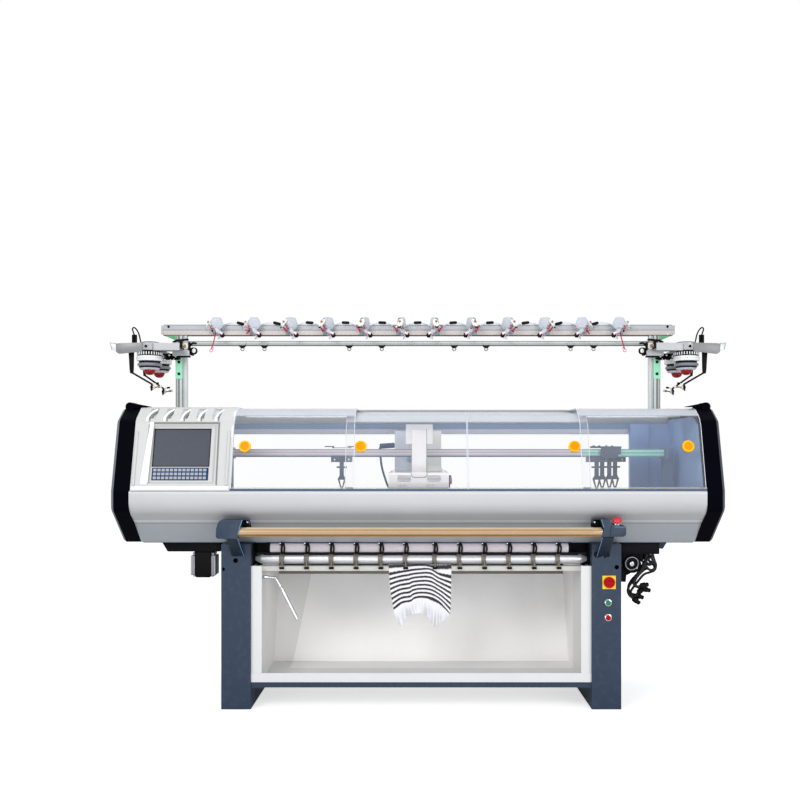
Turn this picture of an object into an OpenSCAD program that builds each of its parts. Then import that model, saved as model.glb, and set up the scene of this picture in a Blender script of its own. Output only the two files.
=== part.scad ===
// Flat knitting machine for collars, with its yarn stand.
// Millimetres. X runs along the needle beds, Y from front to back, Z up from the floor.

/* [Body] */
// Length of the body between its end rims
body_l = 2540; // [2400:10:2700]
// Depth of the body
body_d = 800; // [780:5:860]
// Height of the lower edge of the body
sill_z = 749; // [735:1:765]
// Height of the seam between the two front panels
seam_z = 844; // [835:1:855]
// Height where the front starts to curve under
belly_low_z = 905; // [895:1:915]
// Height of the top edge of the front panel
belly_top_z = 991; // [985:1:1000]
// Height of the shoulder of the hood
shoulder_z = 1306; // [1290:1:1320]
// Height of the top of the hood
top_z = 1362; // [1350:1:1380]
// Thickness of the sheet-metal panels
panel_t = 3; // [2:0.5:5]

/* [End covers] */
// Width of the black end rims
rim_w = 68; // [50:1:90]
// Radial thickness of the end rims
rim_t = 34; // [20:1:60]
// How far the end covers bulge outwards
dome_h = 26; // [15:1:40]
// Radius of the round bar ends on the rims
bar_end_r = 20; // [14:1:26]

/* [Doors] */
// Thickness of the clear doors
door_t = 4; // [3:0.5:5]
// Length of one door
door_l = 544; // [520:1:560]
// Distance between the outer and the inner door surface
door_pitch = 22; // [20:0.5:26]
// Clearance of the doors in their tracks
door_gap = 0.3; // [0.2:0.05:0.6]
// Radius of the finger knobs
knob_r = 26.5; // [22:0.5:30]
// Height of the knobs above the door
knob_h = 9; // [6:0.5:10]
// Distance of the knobs up the slope of the doors
knob_up = 193; // [150:1:240]

/* [Control unit] */
// Length of the control housing
unit_l = 436; // [420:1:450]
// Wall thickness of the moulded housing
unit_t = 12; // [9:0.5:14]
// Width of the display
lcd_w = 248; // [230:1:260]
// Height of the display
lcd_h = 170; // [150:1:176]
// Height of the membrane keypad
keys_h = 58; // [45:1:60]

/* [Legs and tray] */
// Width of a leg
leg_w = 133; // [110:1:150]
// Place of the left leg along the machine
leg_left_x = -822; // [-840:1:-800]
// Place of the right leg along the machine
leg_right_x = 851; // [830:1:870]
// Wall thickness of the legs
leg_t = 5; // [3:0.5:8]
// Distance of the leg fronts behind the front of the body
leg_in = 120; // [110:1:140]
// Height of the tray floor
tray_z = 121; // [100:1:160]
// Thickness of the tray sheets
tray_t = 3; // [2:0.5:5]
// Height of the tray lip
lip_h = 41; // [25:1:60]

/* [Needle beds] */
// Left end of the needle beds
bed_left_x = -800; // [-820:1:-760]
// Right end of the needle beds
bed_right_x = 940; // [900:1:960]
// Height of the comb ridge
ridge_z = 984; // [975:1:990]
// Height of the top of the bed beam
beam_z = 862; // [858:1:866]
// Distance between needle slots
slot_pitch = 24; // [20:1:40]
// Width of a needle slot
slot_w = 3; // [2:0.5:6]

/* [Carriage and yarn carriers] */
// Length of the cam boxes
cam_l = 271; // [240:1:300]
// Height of the top of the cam boxes
cam_z = 1069; // [1060:1:1080]
// Running clearance of the carriage and the carriers
run_gap = 0.3; // [0.2:0.05:0.5]
// Height of the lower edge of the carrier rails
rail_z = 1138; // [1130:1:1150]
// Height of a carrier rail
rail_h = 38; // [30:1:44]
// Thickness of a carrier rail
rail_t = 6; // [4:0.5:8]
// Distance between the carrier rails
rail_pitch = 30; // [28:0.5:34]

/* [Take-down] */
// Radius of the two take-down rollers
roller_r = 22; // [18:0.5:23]
// Height of the main roller
main_z = 671; // [665:1:675]
// Height of the upper roller
upper_z = 721; // [718:1:724]
// Radius of the roller journals
journal_r = 10; // [8:0.5:12]
// Radial running clearance of journals and shafts
fit = 0.05; // [0.02:0.01:0.1]
// Width of a fabric clip
clip_w = 20; // [14:1:26]

/* [Start bar] */
// Radius of the start bar
bar_r = 21.5; // [18:0.5:24]
// Distance of the start bar below the seam of the front panels
bar_drop = 34; // [26:1:44]
// Radius of the emergency stop head
stop_r = 20; // [16:0.5:22]

/* [Yarn stand] */
// Distance of the posts from the middle
post_x = 1164; // [1140:1:1190]
// Width of a post
post_w = 55; // [45:1:65]
// Height of the lower edge of the upper beam
stand_z = 1734; // [1700:1:1780]
// Height of the upper beam
stand_h = 54; // [40:1:65]
// Depth of the beams
stand_d = 30; // [24:1:36]
// Distance between the top tension units
unit_pitch = 180; // [170:1:184]
// Radius of the storage drums
drum_r = 62; // [50:1:66]

/* [Hidden] */
$fn = 48;
hl = body_l / 2;
hd = body_d / 2;
stand_y = 120;
hood_r = 110;
sill_y = hd - 193;
guide_y = hd - 110;
arch_y = guide_y - 90;
bar_z = seam_z - bar_drop;
A = [-hd + 8, belly_top_z + 8 + door_gap + door_t * 0.3];
B = [-hd + 94, shoulder_z];
C = [-hd + 182, top_z];
D = [50, top_z];
lean = atan((B[0] - A[0]) / (B[1] - A[1]));
unit_x0 = -hl + 6;
unit_x1 = unit_x0 + unit_l;
face_lean = atan(93 / (shoulder_z + 2 - belly_top_z));
leg_y0 = -hd + leg_in;
leg_y1 = hd - 40;
leg_top = sill_z - 4;
in_left = leg_left_x + leg_w / 2;
in_right = leg_right_x - leg_w / 2;
bed_half = hd - 170;
guide_z = beam_z + 36;
cam_y0 = -hd + 90;
cam_y1 = -76;
cam_dx = 3;
roll_y = -hd + 200;
clip_gap = 3;
bar_y = -hd + 10;
block_l0 = in_left - leg_w + 1;
block_l1 = in_left + 2;
block_r0 = in_right - 16;
block_r1 = in_right + leg_w - 5;
stop_x = block_r1 - 38;
lever_y = roll_y - 25;
lever_z = 590;
panel_x0 = in_left + 42;
panel_x1 = in_right - 40;
hang_l = in_left + 65.5;
hang_r = in_right - 94.5;
feeder_x = 1295;
feeder_y = [20, 190];
mount_z = 1659;
drum_top = 1645;
door_out_left = unit_x1 + 2;
door_in_left = door_out_left + door_l - 42;
door_in_right = door_in_left + door_l + 2;
door_out_right = hl - 2 - door_l;

// Which piece to draw

function unit(v) = v / norm(v);
function left_of(a, b) = let (u = unit(b - a)) [-u[1], u[0]];
function shifted(p, i, t) =
  i == 0 ? p[0] + t * left_of(p[0], p[1]) :
  i == len(p) - 1 ? p[i] + t * left_of(p[i - 1], p[i]) :
  let (a = left_of(p[i - 1], p[i]), m = unit(a + left_of(p[i], p[i + 1]))) p[i] + (t / (m * a)) * m;
function beside(p, t) = [for (i = [0 : len(p) - 1]) shifted(p, i, t)];
function corner(a, b, c, r, n) =
  let (u = unit(a - b), v = unit(c - b), q = acos(u * v), f = 180 - q)
  let (o = b + unit(u + v) * r / sin(q / 2), s = b + u * r / tan(q / 2) - o, e = b + v * r / tan(q / 2) - o)
  [for (k = [0 : n]) o + (sin((1 - k / n) * f) * s + sin(k / n * f) * e) / sin(f)];
function rounded(p, r, n = 8) =
  [p[0], for (i = [1 : len(p) - 2]) each corner(p[i - 1], p[i], p[i + 1], r[i], n), p[len(p) - 1]];
function ring(p, r, n = 8) =
  let (m = len(p)) [for (i = [0 : m - 1]) each corner(p[(i + m - 1) % m], p[i], p[(i + 1) % m], r, n)];
function rounded_block(x0, x1, z0, z1, r, n = 8) =
  let (p = [[x0, z0], [x1, z0], [x1, z1], [x0, z1]])
  [for (i = [0 : 3]) each corner(p[(i + 3) % 4], p[i], p[(i + 1) % 4], r[i], n)];
function strip(p, t) =concat(p, [for (i = [len(p) - 1 : -1 : 0]) shifted(p, i, t)]);
function flipped(p) = [for (q = p) [-q[0], q[1]]];

cap = [[-sill_y, sill_z], [-hd, belly_low_z], [-hd, belly_top_z], B, C, [-C[0], C[1]], [-B[0], B[1]],
  [hd, belly_top_z], [hd, belly_low_z], [sill_y, sill_z]];
outer_path = [A, B, C, D];
inner_raw = beside(outer_path, -door_pitch);
inner_path = [A + [door_pitch / cos(lean), 0], inner_raw[1], inner_raw[2], inner_raw[3]];
unit_path = [[-hd - 3, belly_top_z], [B[0] - 4, shoulder_z + 2], [C[0] - 2, top_z + 6], [60, top_z + 6]];

module span_x(x0, x1) {
  translate([x0, 0, 0])
    rotate([90, 0, 90])
      linear_extrude(x1 - x0)
        children();
}

module span_y(y0, y1) {
  translate([0, y1, 0])
    rotate([90, 0, 0])
      linear_extrude(y1 - y0)
        children();
}

module block(x0, x1, y0, y1, z0, z1) {
  translate([x0, y0, z0])
    cube([x1 - x0, y1 - y0, z1 - z0]);
}

module rod_x(x0, x1, y, z, r) {
  translate([x0, y, z])
    rotate([0, 90, 0])
      cylinder(h = x1 - x0, r = r);
}

module rod_y(y0, y1, x, z, r) {
  translate([x, y0, z])
    rotate([-90, 0, 0])
      cylinder(h = y1 - y0, r = r);
}

module rod_z(z0, z1, x, y, r) {
  translate([x, y, z0])
    cylinder(h = z1 - z0, r = r);
}

module rod(a, b, r) {
  d = b - a;
  translate(a)
    rotate([0, acos(d[2] / norm(d)), atan2(d[1], d[0])])
      cylinder(h = norm(d), r = r);
}

module ball(p, r) {
  translate(p)
    sphere(r = r, $fn = 24);
}

module on_door(x, path) {
  translate([x, path[0][0] + knob_up * sin(lean), path[0][1] + knob_up * cos(lean)])
    rotate([90 - lean, 0, 0])
      children();
}

module on_face(x, s) {
  translate([x, unit_path[0][0] + s * sin(face_lean), unit_path[0][1] + s * cos(face_lean)])
    rotate([90 - face_lean, 0, 0])
      children();
}

module both_sides() {
  children();
  mirror([1, 0, 0])
    children();
}

// A leg is a welded box, open underneath, with its cable holes in the front.
module leg(x, holes) {
  difference() {
    block(x - leg_w / 2, x + leg_w / 2, leg_y0, leg_y1, 0, leg_top);
    block(x - leg_w / 2 + leg_t, x + leg_w / 2 - leg_t, leg_y0 + leg_t, leg_y1 - leg_t, -1, leg_top - leg_t);
    for (h = holes)
      rod_y(leg_y0 - 1, leg_y0 + leg_t + 1, x + h[0], h[1], h[2]);
    block(x - leg_w / 2 + 30, x + leg_w / 2 - 30, leg_y1 - leg_t - 1, leg_y1 + 1, 80, 420);
  }
}

module leg_left() {
  color([0.2, 0.28, 0.36])
    leg(leg_left_x, [[-1, 672, 11], [-57, 633, 8]]);
}

module leg_right() {
  color([0.2, 0.28, 0.36])
    leg(leg_right_x, [[-34, 700, 13], [6, 697, 9], [46, 642, 10], [11, 574, 20], [6, 483, 11.4], [6, 416, 11.4]]);
}

module cross_rails() {
  color([0.2, 0.28, 0.36]) {
    difference() {
      block(in_left, in_right, leg_y0 + 8, leg_y0 + 48, tray_z - 24, tray_z);
      block(in_left - 1, in_right + 1, leg_y0 + 11, leg_y0 + 49, tray_z - 25, tray_z - tray_t);
    }
    difference() {
      block(in_left, in_right, 100, 150, tray_z - 60, tray_z);
      block(in_left - 1, in_right + 1, 103, 147, tray_z - 57, tray_z - 3);
    }
    difference() {
      block(in_left, in_right, leg_y1 - 38, leg_y1 - 6, tray_z + 394, tray_z + 444);
      block(in_left - 1, in_right + 1, leg_y1 - 35, leg_y1 - 9, tray_z + 397, tray_z + 441);
    }
    block(in_left, in_right, leg_y1 - 20, leg_y1 - 17, tray_z + 444, leg_top);
  }
}

module tray_floor() {
  color([0.93, 0.93, 0.91])
    span_x(in_left, in_right)
      polygon(strip([[leg_y0 + 8, tray_z + lip_h], [leg_y0 + 8, tray_z], [150, tray_z]], tray_t));
}

module tray_side(x0, x1, y0) {
  block(x0, x1, y0, y0 + tray_t, tray_z + lip_h, 646);
}

module tray_walls() {
  back = [leg_y1 - 38, tray_z + 414];
  wall = [[leg_y0 + 12, tray_z + tray_t], [142, tray_z + tray_t], back, [leg_y1 - 60, 646], [leg_y0 + 12, 646]];
  color([0.94, 0.94, 0.92]) {
    difference() {
      union() {
        span_x(panel_x0 - tray_t, panel_x0)
          polygon(wall);
        span_x(panel_x1, panel_x1 + tray_t)
          polygon(wall);
        span_x(panel_x0, panel_x1)
          polygon(strip([[142, tray_z + tray_t], back], tray_t));
        tray_side(in_left, panel_x0 + 6, leg_y0 + 12);
        tray_side(panel_x1 - 6, in_right, leg_y0 + 12);
      }
      rod_x(panel_x0 - 10, panel_x0 + 10, lever_y, lever_z, 8 + fit);
      block(panel_x0 - 10, panel_x1 + 10, roll_y - 29, roll_y + 9, main_z - 53, 650);
    }
  }
}

// The bed beam is a hollow trough with a slot through which the fabric drops.
module bed_beam() {
  half = [[12 - sill_y, leg_top], [12 - sill_y, leg_top + 30], [-guide_y - 2, beam_z], [-45, beam_z], [-45, leg_top]];
  room = [[22 - sill_y, leg_top + 10], [22 - sill_y, leg_top + 26], [16 - guide_y, beam_z - 10], [-55, beam_z - 10],
    [-55, leg_top + 10]];
  color([0.25, 0.3, 0.36]) {
    for (s = [0, 1])
      mirror([0, s, 0]) {
        difference() {
          span_x(-hl + 6, hl - 6)
            polygon(half);
          span_x(-hl + 5, hl - 5)
            polygon(room);
        }
        block(-hl + 6, hl - 6, -guide_y, 20 - guide_y, beam_z, guide_z);
      }
    block(-hl + 6, bed_left_x, -45, 45, leg_top, beam_z);
    block(bed_right_x, hl - 6, -45, 45, leg_top, beam_z);
  }
}

// Each bed is a slope with a needle slot every slot_pitch and a notched comb at its ridge.
module needle_bed() {
  slope = atan((ridge_z - 880) / (bed_half - 12));
  difference() {
    span_x(bed_left_x, bed_right_x)
      polygon([[-12, ridge_z], [-bed_half, 880], [-bed_half, beam_z], [-60, beam_z], [-12, ridge_z - 50]]);
    for (x = [bed_left_x + 20 : slot_pitch : bed_right_x - 20])
      translate([x, -12, ridge_z])
        rotate([slope, 0, 0])
          translate([-slot_w / 2, -260, -4])
            cube([slot_w, 280, 8]);
  }
}

module needle_beds() {
  color([0.45, 0.47, 0.5]) {
    needle_bed();
    mirror([0, 1, 0])
      needle_bed();
  }
}

function rail_y(i) = (i - 1.5) * rail_pitch;

module carrier_rails() {
  color([0.72, 0.7, 0.76]) {
    for (i = [0 : 3])
      block(-890, 1176, rail_y(i) - rail_t / 2, rail_y(i) + rail_t / 2, rail_z, rail_z + rail_h);
    for (x = [-900, 1176])
      block(x, x + 10, -75, 75, rail_z - 8, rail_z + rail_h + 8);
    difference() {
      block(-950, -900, 30, 75, beam_z, rail_z + rail_h + 8);
      block(-946, -904, 34, 71, beam_z - 1, rail_z + rail_h + 4);
    }
    difference() {
      block(1186, 1236, 30, 75, beam_z, rail_z + rail_h + 8);
      block(1190, 1232, 34, 71, beam_z - 1, rail_z + rail_h + 4);
    }
  }
}

module inner_frame() {
  wall = [[-guide_y, beam_z], [-hd + 55, 915], [-hd + 55, belly_top_z], [B[0] + 46, shoulder_z - 20],
    [C[0] + 26, top_z - 38], [hd - 185, top_z - 38], [guide_y, shoulder_z - 2], [guide_y, beam_z]];
  color([0.36, 0.43, 0.52]) {
    both_sides() {
      span_x(hl - 6, hl)
        polygon(wall);
      difference() {
        block(1064, 1158, guide_y - 90, guide_y - 54, beam_z, shoulder_z - 2);
        block(1068, 1154, guide_y - 86, guide_y - 58, beam_z - 1, shoulder_z - 6);
      }
    }
    block(-hl + 6, hl - 6, guide_y - 54, guide_y, shoulder_z - 52, shoulder_z - 2);
    block(1158, hl - 6, guide_y - 74, guide_y - 68, beam_z, shoulder_z - 52);
  }
}

module front_panel_upper() {
  path = [[-hd + 48, belly_top_z], [-hd, belly_top_z], [-hd, belly_low_z], [-hd + 90, seam_z]];
  color([0.86, 0.87, 0.88])
    span_x(-hl, hl)
      polygon(strip(rounded(path, [0, 8, 70, 0]), panel_t));
}

module front_panel_lower() {
  path = [[-hd + 90, seam_z - 0.5], [-sill_y, sill_z], [12 - sill_y, sill_z + 10]];
  color([0.58, 0.6, 0.62])
    span_x(-hl, hl)
      polygon(strip(path, panel_t));
}

module rear_cover() {
  edge = belly_top_z - 19;
  path = flipped(rounded([[-hd + 30, edge], [-hd, edge], [-hd, belly_low_z], [-hd + 90, seam_z], [-sill_y, sill_z]],
    [0, 6, 70, 30, 0]));
  color([0.8, 0.81, 0.82])
    span_x(-hl, hl)
      polygon(strip(path, -panel_t));
}

module top_cover() {
  path = rounded([[66, top_z], [-C[0], top_z], [-B[0], B[1]], [hd - 78, shoulder_z - 52]], [0, 110, 60, 0]);
  color([0.9, 0.9, 0.88])
    span_x(-hl, hl)
      polygon(strip(path, -panel_t));
}

// The doors run in two grooves below and in two slots above.
module door_tracks() {
  low = A[1] - door_gap - door_t * 0.3;
  in_y = inner_path[0][0];
  color([0.75, 0.76, 0.78]) {
    difference() {
      block(unit_x1, hl, -hd + 2, in_y + 14, belly_top_z, belly_top_z + 16);
      for (y = [A[0], in_y])
        block(unit_x1 - 1, hl + 1, y - 1, y + door_t + 4, low, belly_top_z + 17);
    }
    difference() {
      block(unit_x1, hl, 38, 66, top_z - door_pitch - door_t - 6, top_z + 5);
      for (z = [top_z, top_z - door_pitch])
        block(unit_x1 - 1, hl + 1, 37, D[0] + door_gap, z - door_t - door_gap, z + door_gap);
    }
  }
}

module end_rims() {
  whole = ring(cap, 34);
  color([0.07, 0.08, 0.09])
    both_sides() {
      difference() {
        span_x(hl, hl + rim_w)
          polygon(whole);
        span_x(hl + 8, hl + rim_w + 1)
          polygon(ring([for (i = [0 : len(cap) - 1]) rim_inner(i)], 20));
      }
      rod_y(-hd + 170, -hd + 250, hl + 46, top_z + 7, bar_end_r);
      span_y(-hd + 176, -hd + 244)
        polygon([[hl - 34, top_z + 8], [hl - 34, top_z + 10], [hl + 46, top_z + 26], [hl + 60, top_z], [hl + 4, top_z],
          [hl + 4, top_z + 8]]);
    }
}

function rim_inner(i) =
  let (n = len(cap), a = left_of(cap[(i + n - 1) % n], cap[i]), b = left_of(cap[i], cap[(i + 1) % n]), m = unit(a + b))
  cap[i] - (rim_t / (m * a)) * m;

module end_covers() {
  mid = [0, (sill_z + top_z) / 2];
  rows = [[0, 1], [0.45, 0.975], [0.8, 0.9], [1, 0.74]];
  color([0.5, 0.56, 0.64])
    both_sides()
      hull()
        for (r = rows)
          span_x(hl + rim_w + r[0] * (dome_h - 1), hl + rim_w + r[0] * (dome_h - 1) + 1)
            polygon(ring([for (q = cap) mid + (q - mid) * r[1]], 34));
}

// The control housing has a bevelled well for display and keypad, and scooped louvres in its shoulder.
module control_housing() {
  skin = rounded(unit_path, [0, 45, 60, 0], 6);
  mid = (unit_x0 + unit_x1) / 2 - 6;
  edge = (unit_path[1] + unit_path[2]) / 2;
  fall = atan2(unit_path[2][1] - unit_path[1][1], unit_path[2][0] - unit_path[1][0]);
  color([0.86, 0.87, 0.86])
    difference() {
      union() {
        span_x(unit_x0, unit_x1)
          polygon(strip(skin, -unit_t));
        for (x = [unit_x0, unit_x1 - 5])
          span_x(x, x + 5)
            polygon(strip(skin, -38));
        on_face(mid, 170)
          translate([-160, -144, -16])
            cube([320, 288, 15]);
      }
      on_face(mid, 170)
        hull() {
          translate([-154, -138, 0])
            cube([308, 276, 2]);
          translate([-142, -126, -12])
            cube([284, 252, 1]);
        }
      on_face(mid, 202)
        translate([-lcd_w / 2, -lcd_h / 2, -20])
          cube([lcd_w, lcd_h, 12]);
      for (i = [-2 : 2])
        translate([mid + i * 72, edge[0], edge[1]])
          rotate([fall, 0, 0])
            span_y(-46, 40)
              polygon([[-20, 1], [-12, -9], [16, -9], [18, 1]]);
      block(unit_x0 - 1, unit_x1 + 1, -hd - 20, -hd + 80, belly_top_z - 40, belly_top_z);
    }
}

module screen_unit() {
  mid = (unit_x0 + unit_x1) / 2 - 6;
  color([0.3, 0.33, 0.38])
    on_face(mid, 202) {
      translate([-lcd_w / 2 + 0.2, -lcd_h / 2 + 0.2, -17])
        cube([lcd_w - 0.4, lcd_h - 0.4, 4]);
      translate([-lcd_w / 2 - 8, -lcd_h / 2 - 8, -38.1])
        cube([lcd_w + 16, lcd_h + 16, 22]);
    }
}

module keypad() {
  mid = (unit_x0 + unit_x1) / 2 - 6;
  color([0.2, 0.38, 0.52])
    on_face(mid, 80) {
      translate([-125, -keys_h / 2, -12])
        cube([250, keys_h, 1.5]);
      for (i = [0 : 12], j = [-1 : 1])
        translate([-119 + i * 18.4, j * 18 - 6, -10.5])
          cube([14, 12, 1]);
    }
}

module door(x, path) {
  color([0.8, 0.87, 0.9, 0.4])
    difference() {
      span_x(x, x + door_l)
        polygon(strip(rounded(path, [0, hood_r, hood_r - 10, 0]), -door_t));
      children();
    }
}

module knob_hole(x, path) {
  on_door(x, path)
    translate([0, 0, -door_t - 5])
      cylinder(h = door_t + 10, r = knob_r - 6.3);
}

module knob(x, path) {
  color([0.95, 0.72, 0.1])
    on_door(x, path)
      rotate_extrude()
        polygon([[0, -door_t - 4], [knob_r - 2, -door_t - 4], [knob_r - 2, -door_t], [knob_r - 6.5, -door_t],
          [knob_r - 6.5, 0], [knob_r, 0], [knob_r, knob_h - 3], [knob_r - 3, knob_h], [knob_r - 7, knob_h],
          [knob_r - 9, 1], [0, -1]]);
}

kx_out_left = door_out_left + 56;
kx_in_left = door_in_left + 68;
kx_in_right = door_in_right + door_l - 66;
kx_out_right = door_out_right + door_l - 66;

module door_outer_left() {
  door(door_out_left, outer_path)
    knob_hole(kx_out_left, outer_path);
}

module door_inner_left() {
  door(door_in_left, inner_path)
    knob_hole(kx_in_left, inner_path);
}

module door_inner_right() {
  door(door_in_right, inner_path)
    knob_hole(kx_in_right, inner_path);
}

module door_outer_right() {
  door(door_out_right, outer_path)
    knob_hole(kx_out_right, outer_path);
}

module knob_outer_left() {
  knob(kx_out_left, outer_path);
}

module knob_inner_left() {
  knob(kx_in_left, inner_path);
}

module knob_inner_right() {
  knob(kx_in_right, inner_path);
}

module knob_outer_right() {
  knob(kx_out_right, outer_path);
}

function cam_outline(s) = [for (p = [[cam_y0, guide_z + run_gap], [cam_y0, cam_z - 10], [cam_y0 + 10, cam_z],
  [cam_y1 - 14, cam_z], [cam_y1, cam_z - 14], [cam_y1, 966], [cam_y0 + 64, guide_z + run_gap]]) [s * p[0], p[1]]];

// A cam box rides on its guide and has two louvred panels in its outer face.
module cam_box(s) {
  x0 = cam_dx - cam_l / 2;
  difference() {
    span_x(x0, x0 + cam_l)
      polygon(cam_outline(s));
    for (c = [-67, 67], k = [0 : 3])
      block(cam_dx + c - 30, cam_dx + c + 30, s * cam_y0 - 4, s * cam_y0 + 4, cam_z - 18 - 7 * k, cam_z - 15 - 7 * k);
    for (c = [-67, 67], k = [-2 : 2], j = [0, 1])
      rod_y(s * cam_y0 - 4, s * cam_y0 + 4, cam_dx + c + k * 10, 1004 - j * 8, 1.8);
  }
  lug_y = s * (cam_y0 + 80);
  for (c = [-1, 1], lug_x = cam_dx + c * (cam_l / 2 - 22))
    block(lug_x - 6, lug_x + 6, lug_y - 20, lug_y + 20, cam_z, cam_z + 12);
}

module carriage_front() {
  color([0.9, 0.88, 0.88])
    cam_box(1);
}

module carriage_bridge() {
  color([0.92, 0.92, 0.9]) {
    difference() {
      union() {
        block(-29, 41, -arch_y, 28 - arch_y, cam_z, 1268);
        block(-56, 68, -arch_y - 4, arch_y, 1268, 1289);
        block(-56, -29, -arch_y - 4, 8 - arch_y, 1199, 1268);
        block(41, 68, -arch_y - 4, 8 - arch_y, 1199, 1268);
      }
      block(-19, 31, -arch_y - 1, 10 - arch_y, cam_z + 30, 1240);
      block(-40, 52, 40 - arch_y, arch_y - 50, 1280, 1290);
      for (y = [50 - arch_y, 0, arch_y - 60])
        rod_z(1260, 1295, 6, y, 12);
    }
    for (x = [-116, 46])
      block(x, x + 70, arch_y - 28, arch_y, cam_z, 1268);
    block(-46, 46, arch_y - 28, arch_y, 1200, 1268);
    cam_box(-1);
  }
}

// A carrier hangs on one rail; its stem steps down to a forked eye head.
module carrier(x, i) {
  y = rail_y(i);
  color([0.16, 0.18, 0.22]) {
    difference() {
      block(x - 50, x + 50, y - 12, y + 12, rail_z - 24, rail_z + 7);
      block(x - 51, x + 51, y - rail_t / 2 - run_gap, y + rail_t / 2 + run_gap, rail_z - run_gap, rail_z + 8);
      for (c = [-34, 34])
        rod_y(y - 13, y + 13, x + c, rail_z - 12, 4);
    }
    block(x - 10, x + 10, y - 4, y + 4, rail_z - 92, rail_z - 24);
    rod_x(x - 24, x + 24, y, rail_z - 48, 4);
    difference() {
      span_y(y - 6, y + 6)
        difference() {
          polygon([[x - 10, rail_z - 88], [x + 10, rail_z - 88], [x + 19, rail_z - 104], [x + 5, ridge_z + 4],
            [x - 5, ridge_z + 4], [x - 19, rail_z - 104]]);
          polygon([[x - 10, rail_z - 108], [x + 10, rail_z - 108], [x + 3, ridge_z + 14], [x - 3, ridge_z + 14]]);
        }
      rod_z(ridge_z, ridge_z + 20, x, y, 2);
    }
  }
}

module carrier_1() {
  carrier(-363, 0);
}

module carrier_2() {
  carrier(850, 0);
}

module carrier_3() {
  carrier(882, 1);
}

module carrier_4() {
  carrier(922, 2);
}

module carrier_5() {
  carrier(956, 3);
}

clip_x = concat([for (i = [0 : 5]) -621 + 113 * i], [for (i = [0 : 5]) 78 + 113 * i]);

module takedown_frame() {
  color([0.8, 0.8, 0.78]) {
    difference() {
      block(in_left + 8, in_right - 8, roll_y - 28, roll_y + 8, main_z - 52, main_z - 31);
      block(in_left + 11, in_right - 11, roll_y - 24, roll_y + 9, main_z - 49, main_z - 34);
    }
    for (x = [in_left, in_right - 8])
      difference() {
        block(x, x + 8, roll_y - 30, roll_y + 40, main_z - 60, leg_top);
        rod_x(x - 1, x + 9, roll_y, main_z, journal_r + fit);
      }
    block(in_left + 8, in_right - 8, roll_y + 31, roll_y + 40, upper_z - 24, leg_top);
    for (x = [hang_l, hang_r])
      difference() {
        block(x, x + 12, roll_y - 16, roll_y + 31, upper_z - 14, leg_top);
        rod_x(x - 1, x + 13, roll_y, upper_z, journal_r - 2 + fit);
      }
  }
}

// Each clip is a spring strip curled round the front of both rollers, on a foot on the rail.
module takedown_clips() {
  bend = roller_r + clip_gap;
  path = concat([[roll_y - 10, main_z - 31], [roll_y - 10, main_z - bend + 1]],
    [for (a = [245 : -15 : 150]) [roll_y + bend * cos(a), main_z + bend * sin(a)]],
    [for (a = [208 : -15 : 112]) [roll_y + bend * cos(a), upper_z + bend * sin(a)]]);
  color([0.62, 0.57, 0.5])
    for (x = clip_x) {
      span_x(x - clip_w / 2, x + clip_w / 2)
        polygon(strip(path, 2));
      block(x - clip_w / 2 - 2, x + clip_w / 2 + 2, roll_y - 26, roll_y - 12, main_z - 31, main_z - 28);
    }
}

module roller_main() {
  color([0.78, 0.79, 0.8]) {
    rod_x(in_left + 9, in_right - 9, roll_y, main_z, roller_r);
    rod_x(in_left + 1, in_right - 1, roll_y, main_z, journal_r);
  }
}

module roller_upper() {
  color([0.86, 0.86, 0.84]) {
    rod_x(hang_l + 13, hang_r - 1, roll_y, upper_z, roller_r);
    rod_x(hang_l + 1, hang_r + 11, roll_y, upper_z, journal_r - 2);
  }
}

module drop_lever() {
  elbow = [panel_x0 + 62, lever_y, lever_z - 3];
  knee = [panel_x0 + 90, lever_y, lever_z - 51];
  grip = [panel_x0 + 160, lever_y, lever_z - 190];
  color([0.8, 0.81, 0.83]) {
    rod([panel_x0 - 16, lever_y, lever_z], [panel_x0 + 30, lever_y, lever_z], 8);
    rod([panel_x0 + 29, lever_y, lever_z], elbow, 5);
    ball(elbow, 6.5);
    rod(elbow, knee, 5);
    ball(knee, 9);
    rod(knee, grip, 7.5);
  }
}

module knitted_fabric() {
  y1 = roll_y - 28;
  color([0.85, 0.85, 0.86])
    span_y(y1 - 3, y1)
      polygon([[-133, 646], [-129, 605], [-112, 435], [-101, 362], [-60, 398], [7, 424], [40, 398], [69, 362],
        [110, 392], [147, 426], [150, 474], [155, 615], [156, 646]]);
}

function bracket_outline() = [[bar_y - 22, bar_z - 26], [bar_y - 22, bar_z + 25], [bar_y + 22, bar_z + 56],
  [bar_y + 40, bar_z + 56], [bar_y + 40, bar_z - 26]];

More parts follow.
